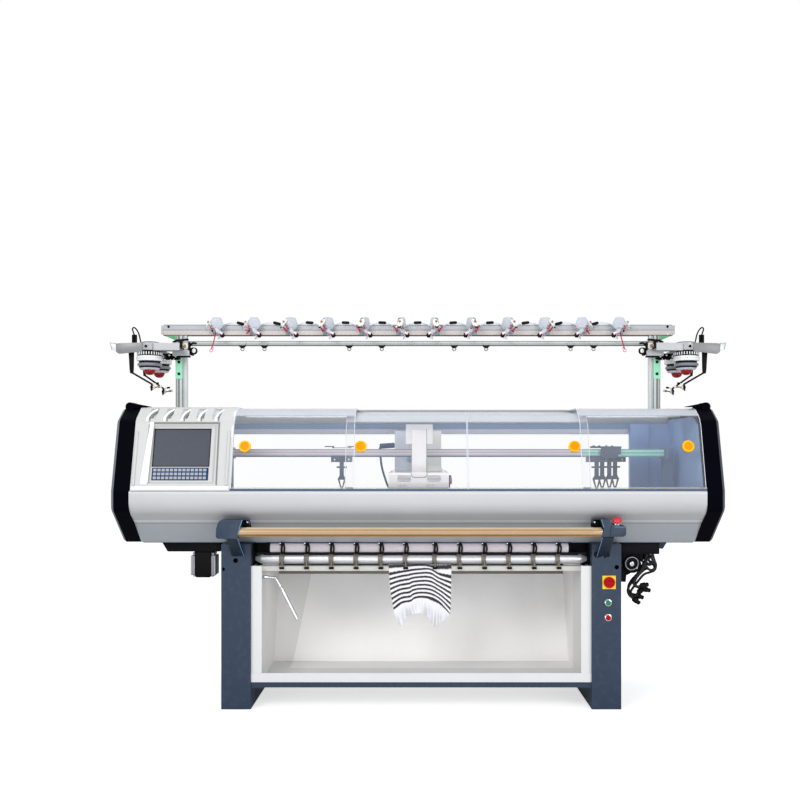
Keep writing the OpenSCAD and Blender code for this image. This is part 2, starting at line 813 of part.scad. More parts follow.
// The brackets are folded boxes on arms that are bolted to the legs.
module bar_brackets() {
  arm = [[bar_y + 20, bar_z - 23], [bar_y + 34, bar_z - 23], [leg_y0 - 8, 748], [leg_y0 - 8, 690]];
  color([0.18, 0.25, 0.34])
    difference() {
      union() {
        for (b = [[block_l0, block_l1, 34, 2], [block_r0, block_r1, 2, 20]])
          intersection() {
            span_x(b[0], b[1])
              polygon(bracket_outline());
            span_y(bar_y - 30, bar_y + 50)
              polygon(rounded_block(b[0], b[1], bar_z - 27, bar_z + 57, [b[2] / 4, b[3] / 4, b[3], b[2]]));
          }
        for (x = [leg_left_x + 10, leg_right_x - 35])
          span_x(x - 24, x + 24)
            polygon(strip(arm, 8));
      }
      for (b = [[block_l0 + 4, block_l1 - 4], [block_r0 + 4, block_r1 - 4]])
        block(b[0], b[1], bar_y - 18, bar_y + 36, bar_z - 27, bar_z + 22);
      rod_x(block_l1 - 5, block_l1 + 1, bar_y, bar_z, 8 + fit);
      rod_x(block_r0 - 1, block_r0 + 5, bar_y, bar_z, 8 + fit);
      on_stop()
        translate([0, 0, -20])
          cylinder(h = 30, r = 8 + run_gap);
    }
}

module on_stop() {
  translate([stop_x, bar_y, bar_z + 40.5])
    rotate([atan(31 / 44), 0, 0])
      children();
}

module start_bar() {
  color([0.82, 0.68, 0.45]) {
    difference() {
      rod_x(block_l1 + 1, block_r0 - 1, bar_y, bar_z, bar_r);
      for (a = [60 : 30 : 300])
        translate([0, bar_y + bar_r * cos(a), bar_z + bar_r * sin(a)])
          rod_x(block_l1, block_r0, 0, 0, 2);
    }
    rod_x(block_l1 - 3.5, block_r0 + 3.5, bar_y, bar_z, 8);
  }
}

module emergency_button() {
  color([0.8, 0.1, 0.1])
    on_stop() {
      translate([0, 0, 7])
        rotate_extrude()
          polygon([[0, 0], [stop_r - 4, 0], [stop_r, 4], [stop_r, 10], [stop_r - 5, 15], [0, 17]]);
      translate([0, 0, -12])
        cylinder(h = 20, r = 8);
    }
}

module switch_plate() {
  x = leg_right_x + 6;
  color([0.93, 0.8, 0.1]) {
    difference() {
      block(x - 25, x + 35, leg_y0 - 4, leg_y0, 544, 604);
      rod_y(leg_y0 - 5, leg_y0 + 1, x + 5, 574, 8 + fit);
    }
    for (z = [483, 416])
      difference() {
        rod_y(leg_y0 - 7, leg_y0, x, z, 16);
        rod_y(leg_y0 - 8, leg_y0 + 1, x, z, 11 + run_gap);
      }
  }
}

module switch_knob() {
  x = leg_right_x + 11;
  color([0.82, 0.12, 0.1]) {
    rod_y(leg_y0 - 12, leg_y0 - 4.3, x, 574, 25);
    block(x - 21, x + 21, leg_y0 - 24, leg_y0 - 12, 568, 580);
    rod_y(leg_y0 - 5, leg_y0 + 8, x, 574, 8);
  }
}

module push_button(z) {
  x = leg_right_x + 6;
  rod_y(leg_y0 - 12, leg_y0 + 6, x, z, 11);
}

module green_button() {
  color([0.1, 0.55, 0.3])
    push_button(483);
}

module red_button() {
  color([0.8, 0.12, 0.12])
    push_button(416);
}

module motor(x, y, z1) {
  difference() {
    block(x - 44, x + 44, y - 44, y + 44, z1 - 110, z1);
    for (k = [0 : 6])
      block(x - 45, x - 39, y - 40, y + 40, z1 - 96 + k * 12, z1 - 91 + k * 12);
  }
  block(x - 50, x + 50, y - 50, y + 50, z1 - 120, z1 - 110);
  rod_z(z1 - 132, z1 - 120, x, y, 24);
}

module under_drives() {
  color([0.1, 0.11, 0.12]) {
    span_y(-150, -10)
      polygon([[-1192, leg_top], [-1165, leg_top - 46], [-918, leg_top - 46], [-918, leg_top]]);
    motor(-985, -90, leg_top - 46);
    block(944, 1121, -160, -20, leg_top - 58, leg_top);
    block(1121, 1169, -120, -40, leg_top - 32, leg_top);
    motor(1000, -110, leg_top - 58);
    block(1060, 1095, -100, -60, leg_top - 150, leg_top - 58);
    for (k = [0 : 3])
      rod_z(leg_top - 120 - 30 * k, leg_top - 57, 1064 + 12 * k, -120, 5);
  }
}

module stand_posts() {
  color([0.8, 0.84, 0.82])
    both_sides()
      difference() {
        block(post_x - post_w / 2, post_x + post_w / 2, stand_y - stand_d / 2, stand_y + stand_d / 2, top_z, stand_z);
        for (c = [-1, 1], s = [-1, 1])
          block(post_x + c * post_w / 4 - 4, post_x + c * post_w / 4 + 4, stand_y + s * stand_d / 2 - 6,
            stand_y + s * stand_d / 2 + 6, top_z - 1, stand_z + 1);
      }
}

module stand_plates() {
  front = stand_y - stand_d / 2;
  color([0.55, 0.9, 0.72])
    both_sides() {
      difference() {
        block(post_x - 7, post_x + post_w / 2, front - 4, front, 1522, 1626);
        for (z = [1546, 1604])
          rod_y(front - 5, front + 1, post_x + 10, z, 5);
      }
      span_y(front, front + 4)
        polygon([[post_x + post_w / 2, stand_z - 24], [post_x + post_w / 2, stand_z], [post_x + post_w / 2 + 46, stand_z],
          [post_x + post_w / 2 + 46, stand_z - 4]]);
      block(post_x + post_w / 2, post_x + post_w / 2 + 46, front, front + stand_d, stand_z - 4, stand_z);
    }
}

module beam_upper() {
  half = post_x + 86;
  color([0.68, 0.71, 0.76])
    difference() {
      block(-half, half, stand_y - stand_d / 2, stand_y + stand_d / 2, stand_z, stand_z + stand_h);
      block(-half - 1, half + 1, stand_y - stand_d / 2 + 3, stand_y + stand_d / 2 - 3, stand_z + 3, stand_z + stand_h - 3);
      block(-half - 1, half + 1, stand_y - stand_d / 2 - 1, stand_y - stand_d / 2 + 2, stand_z + 24, stand_z + 30);
    }
}

holder_x = [-863, -755, -338, -178, 178, 335, 750, 863];

module beam_lower() {
  z1 = stand_z - 26;
  half = post_x - post_w / 2;
  color([0.7, 0.72, 0.74]) {
    difference() {
      block(-half, half, stand_y - 12, stand_y + 12, z1 - 23, z1);
      block(-half - 1, half + 1, stand_y - 9, stand_y + 9, z1 - 20, z1 - 3);
    }
    for (x = holder_x) {
      span_y(stand_y - 16, stand_y - 12)
        polygon([[x - 20, z1 - 10], [x + 20, z1 - 10], [x, z1 - 34]]);
      translate([x, stand_y - 14, z1 - 40])
        rotate([90, 0, 0])
          rotate_extrude()
            translate([8, 0, 0])
              circle(r = 2, $fn = 16);
    }
  }
}

function unit_x(i) = (i - 5.5) * unit_pitch;
disc_y = 58;
arm_z = stand_z + 20;

// The shields face the operator at the ends of the beam and are swivelled away towards its middle.
function swivel(i) = (i < 6 ? 1 : -1) * (i < 2 || i > 9 ? 12 : 48);

// A tension unit has a base on the beam, a saddle, a swivelled shield with tension discs and a pivot for its arm.
module tension_units() {
  deck = stand_z + stand_h;
  color([0.86, 0.87, 0.88])
    for (i = [0 : 11]) {
      x = unit_x(i);
      s = i < 6 ? 1 : -1;
      block(x - 12, x + 12, 66, 172, deck, deck + 12);
      block(x - 18, x + 18, stand_y - stand_d / 2 - 6, stand_y - stand_d / 2, stand_z + 6, deck);
      block(x - 9, x + 9, 66, stand_y - stand_d / 2 - 6, arm_z - 8, deck);
      rod_x(x - 12.7, x - 9, 74, arm_z, 3 - fit);
      translate([x, disc_y + 16, deck])
        rotate([0, 0, swivel(i)]) {
          span_y(-15, 9)
            polygon(ring([[-16, -16], [18, -18], [31, 4], [18, 34], [-18, 34], [-31, 10]], 5, 4));
          span_y(-18, -15)
            polygon(ring([[-12, -11], [14, -13], [25, 4], [15, 29], [-14, 29], [-25, 9]], 5, 4));
          for (k = [0, 1])
            rod_x(s < 0 ? 30 + 9 * k : -35 - 9 * k, s < 0 ? 35 + 9 * k : -30 - 9 * k, -6, 4, 13);
          rod_x(s < 0 ? 20 : -48, s < 0 ? 48 : -20, -6, 4, 4);
        }
    }
}

module tension_arms() {
  color([0.8, 0.15, 0.12])
    for (i = [0 : 11]) {
      x = unit_x(i);
      difference() {
        rod_x(x - 14, x - 9.3, 74, arm_z, 9);
        rod_x(x - 13, x - 8, 74, arm_z, 3);
      }
      rod([x - 12, 70, arm_z - 6], [x - 15, 56, arm_z - 92], 1.8);
      translate([x - 15, 56, arm_z - 99])
        rotate([90, 0, 0])
          rotate_extrude()
            translate([7, 0, 0])
              circle(r = 1.8, $fn = 16);
    }
}

// The cables arch from unit to unit in front of the beam.
module stand_cables() {
  reach = unit_pitch / 2 - 11.6;
  rise = 28;
  r = (reach * reach + rise * rise) / 2 / rise;
  turn = asin(reach / r);
  color([0.85, 0.9, 0.95])
    for (i = [0 : 10])
      translate([unit_x(i) + unit_pitch / 2, 92.5, stand_z + stand_h - 20 + rise - r])
        rotate([90, 0, 0])
          rotate([0, 0, 90 - turn])
            rotate_extrude(angle = 2 * turn)
              translate([r, 0, 0])
                circle(r = 3.2, $fn = 16);
}

// The feeder mount carries two storage feeders and their outlet arms.
module feeder_mounts() {
  y0 = stand_y - stand_d / 2 - 8;
  color([0.74, 0.76, 0.78])
    both_sides()
      difference() {
        union() {
          block(post_x - 20, feeder_x + 20, y0, y0 + 8, mount_z, mount_z + 30);
          translate([0, 0, mount_z])
            linear_extrude(30)
              polygon([[feeder_x + 20, 36], [1471, y0], [1471, y0 + 8], [feeder_x + 20, 46]]);
          block(1444, 1500, y0 - 26, y0, mount_z - 2, mount_z + 32);
          rod_z(mount_z + 20, mount_z + 76, 1383, 69, 9);
          for (y = feeder_y) {
            rod_z(drum_top + run_gap, drum_top + 40, feeder_x, y, 36);
            rod_z(mount_z, mount_z + (y < y0 ? 30 : 10), feeder_x, y, 52);
          }
          block(feeder_x - 20, feeder_x + 20, feeder_y[0], y0, mount_z + 2, mount_z + 24);
          block(feeder_x - 20, feeder_x + 20, y0 + 8, feeder_y[1], mount_z + 2, mount_z + 24);
          for (y = feeder_y) {
            block(feeder_x + 30, 1398, y - 10, y + 10, drum_top + 15, drum_top + 23);
            block(1390, 1398, y - 10, y + 10, 1537, drum_top + 23);
            rod([1394, y, 1540], [1260, y, 1484], 5);
            rod([1262, y, 1485], [1190, y, 1444], 4);
            ball([1394, y, 1540], 6);
            rod_y(y - 14, y + 14, 1260, 1484, 9);
          }
        }
        for (y = feeder_y)
          rod_z(drum_top - 1, drum_top + 20, feeder_x, y, 6 + fit);
      }
}

// A storage drum: slotted ring, white winding ring, disc and dome.
module drum(x, y) {
  color([0.88, 0.88, 0.88])
    translate([x, y, drum_top]) {
      difference() {
        translate([0, 0, -20])
          cylinder(h = 20, r = drum_r);
        for (a = [0 : 15 : 345])
          rotate([0, 0, a])
            translate([drum_r - 5, -2, -16])
              cube([8, 4, 12]);
      }
      rotate_extrude()
        polygon([[0, -111], [14, -110], [22, -104], [25, -95], [25, -90], [drum_r - 16, -88], [drum_r - 6, -68],
          [drum_r - 12, -66], [drum_r - 12, -40], [drum_r - 4, -38], [drum_r - 4, -20], [0, -20]]);
      cylinder(h = 16, r = 6);
    }
}

module drum_left_front() {
  drum(-feeder_x, feeder_y[0]);
}

module drum_left_rear() {
  drum(-feeder_x, feeder_y[1]);
}

module drum_right_front() {
  drum(feeder_x, feeder_y[0]);
}

module drum_right_rear() {
  drum(feeder_x, feeder_y[1]);
}

leg_left();
leg_right();
cross_rails();
tray_floor();
tray_walls();
bed_beam();
needle_beds();
carrier_rails();
inner_frame();
front_panel_upper();
front_panel_lower();
rear_cover();
top_cover();
door_tracks();
end_rims();
end_covers();
control_housing();
screen_unit();
keypad();
door_outer_left();
door_inner_left();
door_inner_right();
door_outer_right();
knob_outer_left();
knob_inner_left();
knob_inner_right();
knob_outer_right();
carriage_front();
carriage_bridge();
carrier_1();
carrier_2();
carrier_3();
carrier_4();
carrier_5();
takedown_frame();
takedown_clips();
roller_main();
roller_upper();
drop_lever();
knitted_fabric();
bar_brackets();
start_bar();
emergency_button();
switch_plate();
switch_knob();
green_button();
red_button();
under_drives();
stand_posts();
stand_plates();
beam_upper();
beam_lower();
tension_units();
tension_arms();
stand_cables();
feeder_mounts();
drum_left_front();
drum_left_rear();
drum_right_front();
drum_right_rear();
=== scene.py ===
import math
import bpy
from mathutils import Matrix, Vector


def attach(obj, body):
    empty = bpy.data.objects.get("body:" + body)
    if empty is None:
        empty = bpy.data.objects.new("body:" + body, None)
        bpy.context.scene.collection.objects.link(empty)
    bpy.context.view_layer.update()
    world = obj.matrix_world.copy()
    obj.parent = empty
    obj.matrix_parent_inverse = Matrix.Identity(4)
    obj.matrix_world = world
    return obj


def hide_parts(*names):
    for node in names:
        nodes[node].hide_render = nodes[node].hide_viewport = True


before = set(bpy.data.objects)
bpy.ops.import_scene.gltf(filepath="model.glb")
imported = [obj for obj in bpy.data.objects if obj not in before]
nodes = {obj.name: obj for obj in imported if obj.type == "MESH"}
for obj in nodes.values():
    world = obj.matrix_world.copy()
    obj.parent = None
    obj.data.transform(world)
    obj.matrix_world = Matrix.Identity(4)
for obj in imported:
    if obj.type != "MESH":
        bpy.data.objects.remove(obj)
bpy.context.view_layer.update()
print("frame loaded:", len(nodes), "nodes")


# ---- selection and shader nodes ----

def deselect():
    if bpy.context.object and bpy.context.object.mode != "OBJECT":
        bpy.ops.object.mode_set(mode="OBJECT")
    bpy.ops.object.select_all(action="DESELECT")


def activate(obj):
    deselect()
    obj.select_set(True)
    bpy.context.view_layer.objects.active = obj


def editAll():
    bpy.ops.object.mode_set(mode="EDIT")
    bpy.ops.mesh.select_all(action="SELECT")


def editDone():
    bpy.ops.object.mode_set(mode="OBJECT")


def feed(tree, value, place):    # the value is a socket, or what the socket is set to
    if isinstance(value, bpy.types.NodeSocket):
        tree.links.new(value, place)
    else:
        place.default_value = value


def addNode(tree, kind, given=None, **values):
    node = tree.nodes.new("ShaderNode" + kind)
    for key, value in values.items():
        if hasattr(node, key):
            setattr(node, key, value)
        else:
            node.inputs[key.replace("_", " ")].default_value = value
    for label, value in (given or {}).items():
        feed(tree, value, node.inputs[label])
    return node


def maths(tree, operation, *terms):
    return addNode(tree, "Math", dict(enumerate(terms)), operation=operation).outputs[0]


def spread(tree, source, low, high, toLow=0.0, toHigh=1.0):
    return addNode(tree, "MapRange", {"Value": source}, From_Min=low, From_Max=high, To_Min=toLow,
        To_Max=toHigh).outputs[0]


def mixColour(tree, share, low, high):
    return addNode(tree, "Mix", {0: share, 6: low, 7: high}, data_type="RGBA").outputs[2]


def noise(tree, place, scale, detail):
    return addNode(tree, "TexNoise", {"Vector": place, "Scale": scale}, Detail=detail).outputs["Fac"]


def objectPlace(tree):
    return addNode(tree, "TexCoord").outputs["Object"]


def heightOf(tree):
    return addNode(tree, "SeparateXYZ", {0: objectPlace(tree)}).outputs["Z"]


# ---- camera, floor and light ----

camera = {"place": (0.0, -4.6, 1.162), "lens": 43.07, "sensor": 36.0, "shiftX": -0.0225, "shiftY": 0.065,
    "sees": 60.0}


def placeCamera(v):
    data = bpy.data.cameras.new("photoCamera")
    data.lens, data.sensor_width = v["lens"], v["sensor"]
    data.shift_x, data.shift_y = v["shiftX"], v["shiftY"]
    data.clip_end = v["sees"]
    seen = bpy.data.objects.new("photoCamera", data)
    seen.location = v["place"]
    seen.rotation_euler = (math.radians(90), 0, 0)
    bpy.context.scene.collection.objects.link(seen)
    bpy.context.scene.camera = seen


placeCamera(camera)

studio = {"world": 0.6, "sky": (0.97, 0.985, 1.0, 1), "white": (1, 1, 1, 1), "floor": (0.82, 0.82, 0.82, 1),
          "floorSize": 30.0, "floorGlow": 0.6,
          "lamps": {    # place, aim, size and watts
              "keyLight": ((-2.6, -4.4, 3.6), (0, 0, 0.9), (2.4, 1.8), 95.0),
              "fillLight": ((3.4, -4.2, 1.8), (0, 0, 0.8), (2.2, 2.2), 58.0),
              "lowLight": ((0, -3.4, 0.3), (0, 0, 0.4), (2.6, 0.4), 16.0),
              "trayLight": ((0, -0.13, 0.6), (0, 0.3, 0.42), (1.3, 0.05), 0.5),
              "hoodLight": ((0.1, -0.02, 1.3), (0.1, 0.25, 1.1), (2.2, 0.1), 1.2),
              "topLight": ((0, 0.2, 4.4), (0, 0, 1.2), (4.0, 1.6), 50.0)}}


def areaLight(name, place, aim, size, power):
    data = bpy.data.lights.new(name, "AREA")
    data.shape = "RECTANGLE"
    data.size, data.size_y = size
    data.energy = power
    lamp = bpy.data.objects.new(name, data)
    lamp.location = place
    lamp.rotation_euler = (Vector(aim) - Vector(place)).to_track_quat("-Z", "Y").to_euler()
    bpy.context.scene.collection.objects.link(lamp)


def lightStudio(v):
    world = bpy.data.worlds.new("softBox")
    bpy.context.scene.world = world
    world.use_nodes = True
    tree = world.node_tree
    tree.nodes.clear()
    lit = addNode(tree, "Background", Color=v["sky"], Strength=v["world"])
    white = addNode(tree, "Background", Color=v["white"])
    path = addNode(tree, "LightPath").outputs
    seen = path["Is Camera Ray"]
    for other in ("Is Glossy Ray", "Is Transmission Ray"):
        seen = maths(tree, "MAXIMUM", seen, path[other])
    mix = addNode(tree, "MixShader", {0: seen, 1: lit.outputs[0], 2: white.outputs[0]})
    addNode(tree, "OutputWorld", {"Surface": mix.outputs[0]})
    for name, values in v["lamps"].items():
        areaLight(name, *values)
    bpy.context.scene.view_settings.view_transform = "Standard"


lightStudio(studio)


def layFloor(v):
    deselect()
    bpy.ops.mesh.primitive_plane_add(size=v["floorSize"], location=(0, 0, 0))
    floor = bpy.context.object
    floor.name = "studioFloor"
    mat = bpy.data.materials.new("studioFloor")
    mat.use_nodes = True
    tree = mat.node_tree
    tree.nodes.clear()
    matt = addNode(tree, "BsdfDiffuse", Color=v["floor"])
    seen = addNode(tree, "LightPath").outputs["Is Camera Ray"]
    glow = addNode(tree, "Emission", {"Strength": maths(tree, "MULTIPLY", seen, v["floorGlow"])})
    both = addNode(tree, "AddShader", {0: matt.outputs[0], 1: glow.outputs[0]})
    addNode(tree, "OutputMaterial", {"Surface": both.outputs[0]})
    floor.data.materials.append(mat)


layFloor(studio)
print("camera, floor and light are set")


# ---- finishes ----

pale = (0.8, 0.8, 0.8, 1)
dustTint = (0.62, 0.60, 0.57, 1)


def effectGroup(name, inputs, outputs):    # four numbers are a colour, three a vector
    group = bpy.data.node_groups.new(name, "ShaderNodeTree")
    for label, value in inputs.items():
        kind = "Float" if isinstance(value, float) else "Color" if len(value) == 4 else "Vector"
        group.interface.new_socket(name=label, in_out="INPUT", socket_type="NodeSocket" + kind).default_value = value
    for label in outputs:
        kind = "Color" if label == "Color" else "Float"
        group.interface.new_socket(name=label, in_out="OUTPUT", socket_type="NodeSocket" + kind)
    return group, group.nodes.new("NodeGroupInput").outputs, group.nodes.new("NodeGroupOutput").inputs


def finishGroup():    # grain, broad shade and a film of dust
    tree, given, end = effectGroup("surfaceFinish",
        {"Color": pale, "Grain Scale": 400.0, "Stretch": (1, 1, 1), "Mottle": 0.05, "Roughness": 0.4, "Dust": 0.08},
        ("Color", "Roughness", "Height"))
    place = objectPlace(tree)
    stretched = addNode(tree, "VectorMath", {0: place, 1: given["Stretch"]}, operation="MULTIPLY").outputs[0]
    fine = noise(tree, stretched, given["Grain Scale"], 3.0)
    change = maths(tree, "MULTIPLY", spread(tree, fine, 0.3, 0.7, -1.0, 1.0), given["Mottle"])
    wide = spread(tree, noise(tree, place, 5.0, 4.0), 0.3, 0.7, -0.02, 0.02)
    factor = maths(tree, "ADD", maths(tree, "ADD", change, wide), 1.0)
    tinted = addNode(tree, "VectorMath", {0: given["Color"], "Scale": factor}, operation="SCALE").outputs[0]
    amount = maths(tree, "MULTIPLY", spread(tree, noise(tree, place, 38.0, 6.0), 0.5, 0.75), given["Dust"])
    rougher = maths(tree, "ADD", change, maths(tree, "MULTIPLY", amount, 0.6))
    feed(tree, mixColour(tree, amount, tinted, dustTint), end["Color"])
    feed(tree, maths(tree, "ADD", given["Roughness"], rougher), end["Roughness"])
    feed(tree, fine, end["Height"])
    return tree


def colourGroup(name, levels):    # the colour changes at one level, or fades between two
    tree, given, end = effectGroup(name, {"Low": pale, "High": pale, "Direction": (0, 0, 1), **levels}, ("Color",))
    along = addNode(tree, "VectorMath", {0: objectPlace(tree), 1: given["Direction"]}, operation="DOT_PRODUCT")
    if len(levels) == 1:
        share = maths(tree, "GREATER_THAN", along.outputs["Value"], given["Level"])
    else:
        share = spread(tree, along.outputs["Value"], 0.0, 1.0)
        feed(tree, given["From"], share.node.inputs["From Min"])
        feed(tree, given["To"], share.node.inputs["From Max"])
    feed(tree, mixColour(tree, share, given["Low"], given["High"]), end["Color"])
    return tree


surfaceFinish = finishGroup()
colourStep = colourGroup("colourStep", {"Level": 0.0})
colourFade = colourGroup("colourFade", {"From": 0.0, "To": 1.0})


def linear(rgb):
    shares = [c / 255 for c in rgb]
    return (*[s / 12.92 if s <= 0.04045 else ((s + 0.055) / 1.055) ** 2.4 for s in shares], 1.0)


upward = (0, 0, 1)
rightward = (1, 0, 0)
backward = (0, 1, 0)
forward = (0, -1, 0)
faceAxis = (0, -0.9596, 0.2815)    # square to the control unit's face
doorAxis = (0, -0.9626, 0.2709)    # square to the lower half of the doors


def colourChain(tree, rgb, steps):    # a step is (direction, level, colour) or (direction, from, to, colour)
    last = linear(rgb)
    for direction, *levels, colour in steps:
        labels = ("Level",) if len(levels) == 1 else ("From", "To")
        high = colourChain(tree, colour[0], colour[1:]) if isinstance(colour[0], tuple) else linear(colour)
        last = addNode(tree, "Group",
            {"Low": last, "High": high, "Direction": direction, **dict(zip(labels, levels))},
            node_tree=colourStep if len(levels) == 1 else colourFade).outputs["Color"]
    return last


def rising(*bands):    # steps from the floor upwards
    return [(upward, *band) for band in bands]


def paint(obj, mat):
    obj.data.materials.clear()
    obj.data.materials.append(mat)
    return obj


def newMaterial(name):
    mat = bpy.data.materials.new(name)
    mat.use_nodes = True
    return mat, mat.node_tree, mat.node_tree.nodes["Principled BSDF"].inputs


def surface(name, rgb, rough=0.4, metal=0.0, grain=420.0, stretch=(1, 1, 1), mottle=0.03, dust=0.05, bump=0.04,
        coat=0.0, steps=(), gloss=0.5):
    mat, tree, shader = newMaterial(name)
    finish = addNode(tree, "Group", node_tree=surfaceFinish, Color=linear(rgb), Grain_Scale=grain, Stretch=stretch,
        Mottle=mottle, Roughness=rough, Dust=dust)
    if steps:
        feed(tree, colourChain(tree, rgb, steps), finish.inputs["Color"])
    relief = addNode(tree, "Bump", {"Height": finish.outputs["Height"]}, Strength=bump, Distance=0.001)
    for label, value in (("Base Color", finish.outputs["Color"]), ("Roughness", finish.outputs["Roughness"]),
            ("Normal", relief.outputs["Normal"]), ("Metallic", metal), ("Coat Weight", coat),
            ("Specular IOR Level", gloss)):
        feed(tree, value, shader[label])
    return mat


def clearSheet(name, tint, opacity, bend, bendOpacity):    # above the level bend the sheet is more opaque, a painted reflection of the sky
    mat, tree, shader = newMaterial(name)
    finish = addNode(tree, "Group", node_tree=surfaceFinish, Color=linear(tint), Grain_Scale=60.0, Mottle=0.02,
        Roughness=0.06, Dust=0.04).outputs
    blur = 0.004
    seen = spread(tree, heightOf(tree), bend - blur, bend + blur, opacity, bendOpacity)
    for label, value in (("Base Color", finish["Color"]), ("Roughness", finish["Roughness"]), ("Alpha", seen),
            ("IOR", 1.2)):
        feed(tree, value, shader[label])
    return mat


def clearBand(mat, low, high, opacity):    # the finish is clear between two heights
    tree = mat.node_tree
    height = heightOf(tree)
    solid = maths(tree, "MAXIMUM", maths(tree, "LESS_THAN", height, low), maths(tree, "GREATER_THAN", height, high))
    feed(tree, spread(tree, solid, 0.0, 1.0, opacity), tree.nodes["Principled BSDF"].inputs["Alpha"])


enamel = {"grain": 700, "mottle": 0.04, "dust": 0.02, "bump": 0.06}
plastic = {"grain": 900, "mottle": 0.02, "dust": 0.0}
steelPaint = {"rough": 0.45, "grain": 500, "mottle": 0.03, "bump": 0.06}
moulded = {"grain": 1500, "mottle": 0.02, "bump": 0.1}

darkBlue = surface("darkBluePaint", (38, 55, 76), rough=0.42, **enamel, gloss=0.35)
railPaint = surface("crossRailPaint", (38, 55, 76), rough=0.42, **enamel, gloss=0.35,
    steps=rising((0.5, (122, 112, 104)), (0.566, (7, 7, 9))))
bracketBlue = surface("bracketBlue", (41, 57, 77), rough=0.4, **enamel, gloss=0.35)
# painted shade: a darker copy of the bracket blue for the arms
armShadedBlue = surface("armShadedBlue", (28, 39, 54), rough=0.42, **enamel, gloss=0.3)
# painted highlights: light blue lines along the bracket and arm edges and across the cylinder
bracketHighlight = surface("bracketHighlight", (112, 152, 190), rough=0.35, grain=700, mottle=0.02, dust=0.01)
coverDark = surface("coverDark", (40, 50, 66), rough=0.42, grain=700, mottle=0.04, dust=0.02, gloss=0.3)
flangeGrey = surface("flangeGrey", (186, 188, 194), rough=0.4, metal=0.2, grain=400, mottle=0.05)
whitePaint = surface("whitePaint", (240, 240, 240), rough=0.5, grain=600, mottle=0.012, bump=0.05)
# painted light: darker at the front flange and brighter at the back, where the body shades it, with a darker wedge on
# the left as a painted shadow
trayPaintAndShade = surface("trayPaintAndShade", (224, 225, 226), rough=0.55, grain=600, mottle=0.012, bump=0.05,
    steps=((backward, -0.24, (232, 232, 230)),
        (backward, 0.0, ((232, 231, 228), ((1, 0, -0.17), -0.639, (250, 248, 246))))))
paleGrey = surface("paleGreyPaint", (216, 218, 224), rough=0.38, grain=700, mottle=0.015, bump=0.05)
# painted shade: the lower curl of the upper panel darkens towards the bottom, with light bands at the seam and along
# the top
panelGrey = surface("upperPanelGrey", (182, 183, 186), rough=0.4, grain=700, mottle=0.012, bump=0.05,
    steps=rising((0.852, (208, 210, 212)), (0.8565, (172, 173, 177)), (0.89, 0.975, (200, 200, 203)),
        (0.979, (208, 210, 212))))
midGrey = surface("midGreyPaint", (160, 165, 171), rough=0.42, grain=700, mottle=0.02, bump=0.05,
    steps=rising((0.8425, (46, 48, 52))))
steelBlue = surface("steelBluePaint", (134, 162, 204), **steelPaint)
frameBlue = surface("frameBlue", (134, 166, 216), **steelPaint,
    steps=((upward, 1.2538, (196, 200, 214)), (upward, 1.277, (112, 138, 178)), (rightward, 1.06, (134, 166, 216)),
        (rightward, 1.157, 1.165, (150, 182, 228))))
bedBlue = surface("bedBluePaint", (84, 102, 130), **steelPaint)
rimBlack = surface("rimBlack", (1, 1, 8), rough=0.65, grain=500, mottle=0.05, dust=0.0, bump=0.02, gloss=0.03)
# painted shade: the right end cover is darker than the left
coverGrey = surface("coverBlueGrey", (104, 110, 120), rough=0.42, grain=650, mottle=0.03, dust=0.02, bump=0.05,
    gloss=0.3, steps=((rightward, 0.0, (62, 66, 74)),))
mouldedWhite = surface("mouldedWhite", (199, 200, 200), rough=0.46, **moulded)
mouldedShade = surface("mouldedShade", (128, 130, 126), rough=0.5, **moulded, gloss=0.2)
# painted highlights on the moulded white: lit edges, bevels and lips
mouldedHighlight = surface("mouldedHighlight", (252, 253, 253), rough=0.4, grain=1500, mottle=0.01, bump=0.05)
carriageWhite = surface("carriageWhite", (240, 237, 238), rough=0.4, grain=900, mottle=0.012, bump=0.05)
# painted light: the rear plates bluish grey on the left and brighter on the right
bridgeWhite = surface("bridgeWhite", (228, 228, 232), rough=0.42, grain=700, mottle=0.02, bump=0.05,
    steps=((backward, 0.05, ((224, 230, 240), (rightward, 0.02, (250, 249, 244)))),))
knobOuter = surface("knobYellowOuter", (250, 158, 0), rough=0.4, grain=900, mottle=0.02, gloss=0.15, dust=0.01,
    steps=((doorAxis, 0.6505, (255, 196, 0)),))
knobInner = surface("knobYellowInner", (250, 158, 0), rough=0.4, grain=900, mottle=0.02, gloss=0.15, dust=0.01,
    steps=((doorAxis, 0.6285, (255, 196, 0)),))
needleSteel = surface("needleSteel", (150, 154, 162), rough=0.34, metal=0.9, grain=160, stretch=(1, 12, 12),
    mottle=0.1)
tealBands = ((92, 150, 148), (upward, 1.1445, (168, 220, 212)), (upward, 1.155, (122, 186, 180)),
    (upward, 1.1605, (176, 226, 218)), (upward, 1.1715, (112, 172, 168)))
railSteel = surface("railSteel", (92, 108, 138), rough=0.45, metal=0.1, grain=90, stretch=(1, 14, 14), mottle=0.04,
    gloss=0.3,
    steps=((upward, 1.1445, (196, 190, 206)), (upward, 1.1505, (230, 220, 226)), (upward, 1.1575, (190, 185, 198)),
        (upward, 1.163, (232, 222, 228)), (upward, 1.1705, (166, 161, 178)), (rightward, 0.776, tealBands),
        (rightward, 1.17, (112, 134, 166))))
beamMetal = surface("beamMetal", (84, 84, 88), rough=0.5, metal=0.1, grain=110, stretch=(1, 16, 16), mottle=0.04,
    gloss=0.25,
    steps=rising((1.7378, (206, 198, 194)), (1.759, (166, 166, 170)), (1.7625, (186, 189, 194)),
        (1.7842, (140, 143, 148))))
